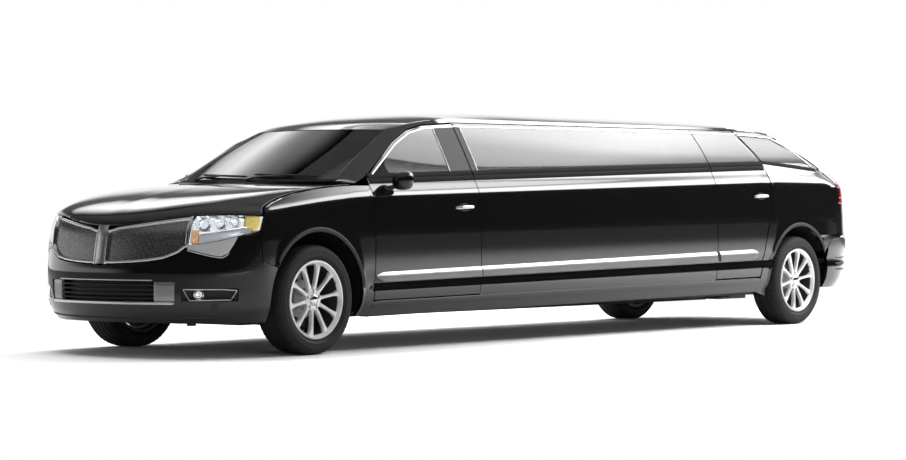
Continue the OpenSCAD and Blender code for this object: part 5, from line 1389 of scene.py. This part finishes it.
# Cowl panel and front wipers
def on_screen(u, t, out):
    def at(du, dt):
        return np.array([roof_grid(np.array([a + du]), np.array([b + dt]), 0.0)[0, 0] for a, b in zip(u, t)])
    p = at(0, 0)
    n = unit(np.cross(at(0.02, 0) - p, at(0, 0.01) - p))
    n = np.where(n[:, 2:] < 0, -n, n)
    return p + n * np.asarray(out, float)[:, None], n


wipers = []
for t0, t1, base in ((-0.76, -0.06, -0.34), (-0.02, 0.66, 0.36)):
    q = np.linspace(0, 1, 20)
    wipers.append(sweep(*on_screen(mix(1.12, 1.3, q), mix(t0, t1, q), np.full(20, 9.0)),
                        [(-4, -6), (-7, 1), (-3, 8), (3, 8), (7, 1), (4, -6)], ends(20, 0.08)))
    wipers.append(sweep(*on_screen(mix(0.55, 1.21, q), mix(base + 0.28, 0.5 * (t0 + t1), q),
                                   8 + 14 * np.sin(math.pi * q) ** 0.7),
                        oval(12, 10, 6, 3), np.linspace(1.3, 0.7, 20)))
build("front_wipers", wipers, "trim", "body")
cowl_u, cowl_t = steps([0.06, 0.96], [10]), steps([-0.93, 0.93], [80])
build("cowl_panel", [slab(roof_grid(cowl_u, cowl_t, -3.0), roof_grid(cowl_u, cowl_t, 4.0))], "seal", "body",
      bevel=TRIM_BEVEL)


# Seats: crowned cushions with sewn channels and a piped edge
SEAM_DEPTH, SEAM_W, PUCKER, PIPING_R = 11, 9, 1.6, 4.5


def pad_part(centre, across, along_dir, half, crown_h, channels=(), cross=(), pull=0.035, n=(46, 40)):
    across, along_dir = unit(np.asarray(across, float)), unit(np.asarray(along_dir, float))
    up = np.cross(across, along_dir)
    wide, deep, thick = half
    u, v = np.meshgrid(np.sin(np.linspace(-1, 1, n[0]) * math.pi / 2), np.sin(np.linspace(-1, 1, n[1]) * math.pi / 2),
                       indexing="ij")
    px = wide * u * (1 - pull * (1 - v * v))
    py = deep * v * (1 - pull * (1 - u * u))
    roll = np.maximum(0, (1 - np.abs(u) ** 5) * (1 - np.abs(v) ** 5)) ** 0.42
    top = thick * roll + crown_h * (1 - u * u) * (1 - v * v)
    for seams, q, size, r, run in ((channels, u, wide, v, deep), (cross, v, deep, u, wide)):
        for c in seams:
            d = (q - c) * size
            pucker = PUCKER * np.exp(-(d / 34) ** 2) * np.sin(r * run / 7 + 3 * q)
            top = top - (SEAM_DEPTH * np.exp(-(d / SEAM_W) ** 2) + pucker) * roll
    low = -0.55 * thick * roll

    def place(h):
        return np.asarray(centre, float) + px[..., None] * across + py[..., None] * along_dir + h[..., None] * up
    edge = [(i, 0) for i in range(n[0])] + [(n[0] - 1, j) for j in range(1, n[1])]
    edge += [(i, n[1] - 1) for i in range(n[0] - 2, -1, -1)] + [(0, j) for j in range(n[1] - 2, 0, -1)]
    path = place(np.zeros_like(u))[tuple(np.array(edge).T)]
    piping = sweep(path, np.broadcast_to(up, path.shape), ring(PIPING_R, 8), closed=True)
    return [slab(place(top), place(low - 0.5)), piping]


def cushion(name, *args, nodes=(), **values):
    o = build(name, pad_part(*args, **values), "leather", "body", nodes, sharp=60)
    return o


def plinth(x0, x1, y0, y1, z0, z1):
    sec = oval(48, (x1 - x0) / 2, (y1 - y0) / 2, 9)
    levels = [(z0, 0.96), (z0 + 8, 0.985), (z0 + 30, 0.99), (z1 - 14, 1.0), (z1 - 4, 0.985), (z1, 0.94)]
    return tube(np.array([[[(x0 + x1) / 2 + a * s, (y0 + y1) / 2 + b * s, z] for a, b in sec] for z, s in levels]))


SEAT_FLOOR, SEAT_Y, BASE_H = 300.0, 380.0, 240
SEAT_LEAN = (0.29, 0.0, 0.957)


def seat(name, x0, y0, wide, nodes=(), head=True):
    cushion(f"{name}_cushion", (x0 + 290, y0, SEAT_FLOOR + 275), (0, -1, 0), (-1, 0, 0.05), (wide - 12, 262, 74), 26,
            (-0.5, 0.5), (0.55,), nodes=nodes)
    cushion(f"{name}_back", (x0 + 662, y0, SEAT_FLOOR + 655), (0, -1, 0), SEAT_LEAN, (wide - 12, 272, 66), 20,
            (-0.5, 0.5), (-0.35, 0.45))
    if head:
        cushion(f"{name}_headrest", (x0 + 748, y0, SEAT_FLOOR + 1020), (0, -1, 0), (0.12, 0, 0.99), (122, 84, 38), 12)


FRONT_SEAT, BENCH, LOUNGE = fx(1050), rx(-1140), (fx(2550), rx(-1500))
seat("driver_seat", FRONT_SEAT, -SEAT_Y, 245.0, "front_seats")
seat("passenger_seat", FRONT_SEAT, SEAT_Y, 245.0)
for i in range(3):
    seat(f"bench_{i + 1}", BENCH, (i - 1) * 426.0, 212.0, "lounge_seats" if i == 0 else (), False)
step = (LOUNGE[1] - LOUNGE[0]) / 4
for i in range(4):
    x0 = LOUNGE[0] + (i + 0.5) * step
    cushion(f"lounge_cushion_{i + 1}", (x0, 424.0, 598.0), (1, 0, 0), (0, 1, 0), (step / 2 - 3, 214, 70), 24,
            (-0.34, 0.34))
    cushion(f"lounge_back_{i + 1}", (x0, 706.0, 868.0), (1, 0, 0), (0, 0.12, 0.99), (step / 2 - 3, 150, 46), 14,
            (-0.34, 0.34))
bases = [plinth(FRONT_SEAT + 60, FRONT_SEAT + 540, y0 - 190, y0 + 190, SEAT_FLOOR, SEAT_FLOOR + BASE_H)
         for y0 in (-SEAT_Y, SEAT_Y)]
bases += [plinth(BENCH + 60, BENCH + 560, -636.0, 636.0, SEAT_FLOOR, SEAT_FLOOR + BASE_H),
          plinth(LOUNGE[0], LOUNGE[1], 214.0, 640.0, SEAT_FLOOR, 566.0),
          plinth(LOUNGE[0], LOUNGE[1], 700.0, 768.0, SEAT_FLOOR, 1000.0)]
for y0 in (-SEAT_Y, SEAT_Y):
    for dy in (-60, 60):
        path = np.array([[FRONT_SEAT + 716 + 0.12 * h, y0 + dy, SEAT_FLOOR + 890 + h] for h in (0, 40, 80)], float)
        bases.append(sweep(path, AXIS_X, ring(7, 10), kind=1))
build("seat_bases", bases, ("cabin", "chrome"), "body")

# Steering wheel, instrument hood, screen and vents
RAKE, GRIP_R = math.radians(65), 175
AIM = np.array([math.sin(RAKE), 0.0, math.cos(RAKE)])
HUB_AT = np.array([fx(799), -SEAT_Y, 975.0]) + 140 * AIM
grip = lathe([(GRIP_R + a, b) for a, b in ring(15, 14)], HUB_AT, AIM, 80)
boss = lathe([(48, -46), (56, -20), (58, 4), (50, 18), (32, 25), (2, 27)], HUB_AT - 6 * AIM, AIM, 48, False, 1)
column = sweep(np.array([HUB_AT - d * AIM for d in (20, 70, 120, 170)]), AXIS_Y, ring(30, 20),
               np.array([1.0, 1.15, 1.3, 1.3]), kind=1)
slope = np.cross(AIM, AXIS_Y)
arms = []
for a in (0.0, math.pi, 1.5 * math.pi):
    way = math.cos(a) * AXIS_Y + math.sin(a) * slope * (1 if slope[2] > 0 else -1)
    path = np.array([HUB_AT + way * r - AIM * 8 * (1 - r / 170) for r in (40, 80, 120, 165)])
    arms.append(sweep(path, AIM, oval(14, 15, 7, 3), np.array([1.3, 1.0, 0.9, 1.1]), kind=2))
build("steering_wheel_set", [grip, boss, column, *arms], ("leather", "cabin", "silver"), "body", "steering_wheel")
DASH_X = fx(550)
hump = []
for y0 in np.linspace(-550, -210, 19):
    h = 62 * (1 - abs((y0 + 380) / 170) ** 4) + 2
    a = np.linspace(0, math.pi, 14)
    hump.append([[DASH_X + 120 + 96 * math.cos(b), y0, 1060 + h * math.sin(b)] for b in a]
                + [[DASH_X + 30, y0, 1040], [DASH_X + 190, y0, 1036]])
FACE_LOW, FACE_HIGH = np.array([DASH_X + 270, 0, 930.0]), np.array([DASH_X + 228, 0, 1020.0])
FACE_OUT = unit(np.array([90.0, 0.0, 42.0]))


def on_dash(y, s, out):
    y, s = np.asarray(y, float)[..., None], np.asarray(s, float)[..., None]
    return mix(FACE_LOW, FACE_HIGH, s) + y * AXIS_Y + FACE_OUT * out


dash = [tube(np.array(hump))]
p = oval(60, 128, 0.62, 10)
dash.append(sweep(on_dash(p[:, 0], 0.45 + p[:, 1], 1.0), FACE_OUT, crown(9, 5, 5), closed=True, kind=1))
y, s = lattice((-124, 124, 12), (1.03, -0.13, 8))
dash.append(slab(on_dash(y, s, 3.0)[:, ::-1], on_dash(y, s, -4.0)[:, ::-1], 2))
for y0 in (-590, -185, 185, 590):
    p = oval(40, 46, 0.4, 6)
    dash.append(sweep(on_dash(y0 + p[:, 0], 0.45 + p[:, 1], 1.0), FACE_OUT, crown(7, 4, 5), closed=True, kind=1))
    for s0 in np.linspace(0.17, 0.73, 5):
        dash.append(sweep(on_dash(y0 + np.linspace(-42, 42, 8), np.full(8, s0), 1.0), FACE_OUT, crown(5, 2, 3)))
build("dash_details", dash, ("cabin", "chrome", "paint"), "body")

# Partition glass with a frame
PART_X = fx(1990) + 25
p = oval(72, 484, 194, 12)
path = np.stack([np.full(72, PART_X - 26), p[:, 0], 1190 + p[:, 1]], -1)
rims = [sweep(path, np.array([-1.0, 0, 0]), crown(18, 6, 4), closed=True)]
path = path + [52, 0, 0]
rims.append(sweep(path, AXIS_X, crown(18, 6, 4), closed=True))
y, z = lattice((-479, 479, 12), (1379, 1001, 8))
rims.append(slab(*[np.stack([np.full(y.shape, PART_X + d), y, z], -1) for d in (-3, 3)], 1))
build("partition_window", rims, ("chrome", "screen_glass"), "body")

# Engine cover with ribs, and the tail pipe
u, v = np.meshgrid(np.linspace(-1, 1, 60), np.linspace(-1, 1, 40), indexing="ij")
roll = np.maximum(0, (1 - np.abs(u) ** 8) * (1 - np.abs(v) ** 8)) ** 0.3
top = 802 + 44 * roll + 5 * roll * np.cos(v * 26) * (np.abs(u) < 0.86)
x, y = fx(-100) + 262 * u, 300 * v
build("engine_cover", [slab(np.stack([x, y, top], -1), np.stack([x, y, np.full(x.shape, 799.0)], -1))], "cabin", "body")
path = np.array([[rx(700), 200, 225], [rx(800), 200, 228], [rx(880), 200, 240], [rx(960), 200, 246],
                 [rx(1030), 200, 246]], float)
pipe = sweep(path, AXIS_Z, ring(26, 24))
tip = lathe([(34, -60), (38, -50), (39, 50), (36, 54), (32, 52), (31, -40)], path[-1] + [40, 0, 0], [1.0, 0, 0], 48,
            True, 1)
build("tail_pipe", [pipe, tip], ("steel", "chrome"), "body")

# Returns of the wheel arches, from the skin in to the liners
returns = []
for x0, a0, a1, y_in in ((FRONT_AXLE, -12, 149, -430.0), (REAR_AXLE, 31, 194, -600.0)):
    a, t = np.meshgrid(np.radians(np.linspace(a0, a1, 60)), np.linspace(0, 1, 6))

    def arch_place(r):
        x, z = x0 + r * np.cos(a), AXLE_Z + r * np.sin(a)
        return np.stack([x, mix(20.0 - side_w(x, z), y_in, t), z], -1)
    returns.append(slab(arch_place(ARCH_R + 3), arch_place(ARCH_R + 9)))
build("arch_returns", twin(*returns), "seal", "body")

# Ribbed tray under the front of the engine bay, ahead of the wheels' sweep
u, v = np.meshgrid(np.linspace(0, 1, 24), np.linspace(-1, 1, 80), indexing="ij")
tray = np.stack([FRONT_AXLE - mix(890.0, 445.0, u), v * mix(540.0, 740.0, u),
                 232 + 4 * np.cos(v * 40) * np.sin(np.pi * u)], -1)
build("front_undertray", [slab(tray, tray - [0, 0, 4.0])], "seal", "body")

# Carried-over nodes
for node, mat in (("floor_pan", "carpet"), ("nose_carrier", "trim"), ("wheel_liners", "seal"),
                  ("front_subframe", "iron"), ("engine", "iron"), ("rear_axle", "iron"), ("exhaust", "iron"),
                  ("dashboard", "cabin"), ("partition", "cabin"), ("knuckle_left", "steel"),
                  ("knuckle_right", "steel")):
    CAD[node].data.materials.clear()
    CAD[node].data.materials.append(MAT[mat])

# Stage
scene = bpy.context.scene
scene.view_settings.view_transform = "Standard"


def stage_plane(name, corners):
    mesh = bpy.data.meshes.new(name)
    mesh.from_pydata(corners, [], [(0, 1, 2, 3)])
    o = bpy.data.objects.new(name, mesh)
    scene.collection.objects.link(o)
    return o


def seen_by(tree, *names):
    """1 for the named kinds of rays."""
    out = node_out(tree, "LightPath", out=names[0])
    for name in names[1:]:
        out = node_out(tree, "Math", {0: out, 1: node_out(tree, "LightPath", out=name)}, operation="MAXIMUM")
    return out


def ramp_of(tree, source, stops):
    """Grey values at places from 0 to 1."""
    r = tree.nodes.new("ShaderNodeValToRGB")
    r.color_ramp.interpolation = "EASE"
    for e in list(r.color_ramp.elements)[1:]:
        r.color_ramp.elements.remove(e)
    r.color_ramp.elements[0].position = stops[0][0]
    r.color_ramp.elements[0].color = (*[stops[0][1]] * 3, 1)
    for place, value in stops[1:]:
        e = r.color_ramp.elements.new(place)
        e.color = (value, value, value, 1)
    tree.links.new(source, r.inputs["Fac"])
    return r.outputs["Color"]


def new_tree(owner):
    owner.use_nodes = True
    owner.node_tree.nodes.clear()
    return owner.node_tree


# Floor: pale, with the shadow near the part, and white in the distance
floor = stage_plane("floor", [(-120, -120, 0), (120, -120, 0), (120, 120, 0), (-120, 120, 0)])
m = bpy.data.materials.new("floor")
t = new_tree(m)
seen = seen_by(t, "Is Camera Ray", "Is Transmission Ray")
colour = node_out(t, "MixRGB", {0: seen, 1: (0.62, 0.62, 0.62, 1), 2: (1.3, 1.3, 1.3, 1)})
diffuse = node_out(t, "BsdfDiffuse", {"Color": colour})
stretched = node_out(t, "VectorMath", {0: places(t), 1: (1.0, 1.7, 1.0)}, operation="MULTIPLY")
length = node_out(t, "VectorMath", {0: stretched}, "Value", operation="LENGTH")
reach = node_out(t, "MapRange", {"Value": length, "From Min": 4.8, "From Max": 8.0}, interpolation_type="SMOOTHSTEP")
far = node_out(t, "Math", {0: reach, 1: seen}, operation="MULTIPLY")
mixed = node_out(t, "MixShader", {0: far, 1: diffuse, 2: node_out(t, "Emission")})
node_out(t, "OutputMaterial", {"Surface": mixed})
floor.data.materials.append(m)

# World: white to the eye, a plain level of light, and a studio with dark walls in reflections
world = bpy.data.worlds.new("studio")
scene.world = world
t = new_tree(world)
direction = places(t, "Generated")
up = node_out(t, "SeparateXYZ", {0: direction}, "Z")
height = node_out(t, "MapRange", {"Value": up, "From Min": -1.0, "From Max": 1.0})
across = node_out(t, "VectorMath", {0: direction, 1: (0.2, 0.98, 0.0)}, "Value", operation="DOT_PRODUCT")
beyond = node_out(t, "MapRange", {"Value": across, "From Min": 0.15, "From Max": 0.6}, interpolation_type="SMOOTHSTEP")
near = ramp_of(t, height, [(0.0, 0.3), (0.5, 0.02), (0.66, 0.03), (0.74, 0.3), (1.0, 0.4)])
away = ramp_of(t, height, [(0.0, 1.0), (0.575, 1.0), (0.64, 0.12), (0.75, 0.12), (1.0, 0.3)])
studio = node_out(t, "MixRGB", {0: beyond, 1: near, 2: away})
level = node_out(t, "MixRGB", {0: seen_by(t, "Is Glossy Ray"), 1: (0.22, 0.22, 0.22, 1), 2: studio})
plain = node_out(t, "MixRGB", {0: seen_by(t, "Is Camera Ray", "Is Transmission Ray"), 1: level, 2: (1, 1, 1, 1)})
node_out(t, "OutputWorld", {"Surface": node_out(t, "Background", {"Color": plain})})


def soft_card(name, x, y, strength, edge_x, edge_y):
    """A glowing ceiling card outside the view, with its own fade along x and along y."""
    card = stage_plane(name, [(x[0], y[0], CEILING), (x[1], y[0], CEILING), (x[1], y[1], CEILING),
                              (x[0], y[1], CEILING)])
    card.visible_camera = False
    card.visible_shadow = False
    m = bpy.data.materials.new(name)
    t = new_tree(m)
    at = places(t, "Generated")
    fades = [ramp_of(t, node_out(t, "SeparateXYZ", {0: at}, axis), edge)
             for axis, edge in (("X", edge_x), ("Y", edge_y))]
    both = node_out(t, "Math", {0: fades[0], 1: fades[1]}, operation="MULTIPLY")
    power = node_out(t, "Math", {0: both, 1: strength}, operation="MULTIPLY")
    node_out(t, "OutputMaterial", {"Surface": node_out(t, "Emission", {"Strength": power})})
    card.data.materials.append(m)


SOFT = [(0.0, 0.0), (0.12, 1.0), (0.88, 1.0), (1.0, 0.0)]
CEILING = 6.5
soft_card("card_shoulder", (1.5, 26), (-8.5, -4.7), 9.0, SOFT, [(0.0, 0.0), (0.2, 1.0), (0.86, 1.0), (1.0, 0.0)])
soft_card("card_glass", (1.5, 22), (-5.3, -0.8), 10.0,
          [(0.0, 0.0), (0.15, 1.0), (0.3, 1.0), (0.45, 0.6), (0.6, 0.25), (1.0, 0.15)],
          [(0.0, 0.45), (0.3, 0.65), (0.55, 0.95), (0.85, 1.0), (1.0, 0.0)])
soft_card("card_right", (5, 26), (0.5, 7.5), 5.0, SOFT, SOFT)
soft_card("card_screen", (-1.5, 8.0), (4.2, 12.5), 3.2, [(0.0, 0.0), (0.45, 1.0), (0.75, 0.8), (1.0, 0.0)],
          [(0.0, 0.0), (0.176, 0.25), (0.44, 1.0), (0.57, 0.8), (0.75, 0.55), (1.0, 0.0)])


def area_light(name, place, target, size, watts):
    data = bpy.data.lights.new(name, "AREA")
    data.shape = "RECTANGLE"
    data.size, data.size_y = size
    data.energy = watts
    o = bpy.data.objects.new(name, data)
    scene.collection.objects.link(o)
    o.location = place
    o.rotation_euler = (Vector(target) - Vector(place)).to_track_quat("-Z", "Y").to_euler()
    o.visible_camera = False
    return o


area_light("overhead", (0, 1.5, 7), (0, 0, 0), (12, 3), 620).visible_glossy = False
area_light("side_fill", (-7, -11, 1.1), (0, 0, 0.4), (7, 2), 300).visible_glossy = False

camera_data = bpy.data.cameras.new("camera")
camera = bpy.data.objects.new("camera", camera_data)
scene.collection.objects.link(camera)
scene.camera = camera
CAMERA_YAW, CAMERA_PITCH = 0.6830, -0.0094
CAMERA_AT, CAMERA_LENS = (-16.430, -12.9955, 1.0051), 107.0
camera.location = CAMERA_AT
look = Vector((math.cos(CAMERA_PITCH) * math.cos(CAMERA_YAW), math.cos(CAMERA_PITCH) * math.sin(CAMERA_YAW),
               math.sin(CAMERA_PITCH)))
camera.rotation_euler = look.to_track_quat("-Z", "Y").to_euler()
camera_data.sensor_width = 36.0
camera_data.lens = CAMERA_LENS
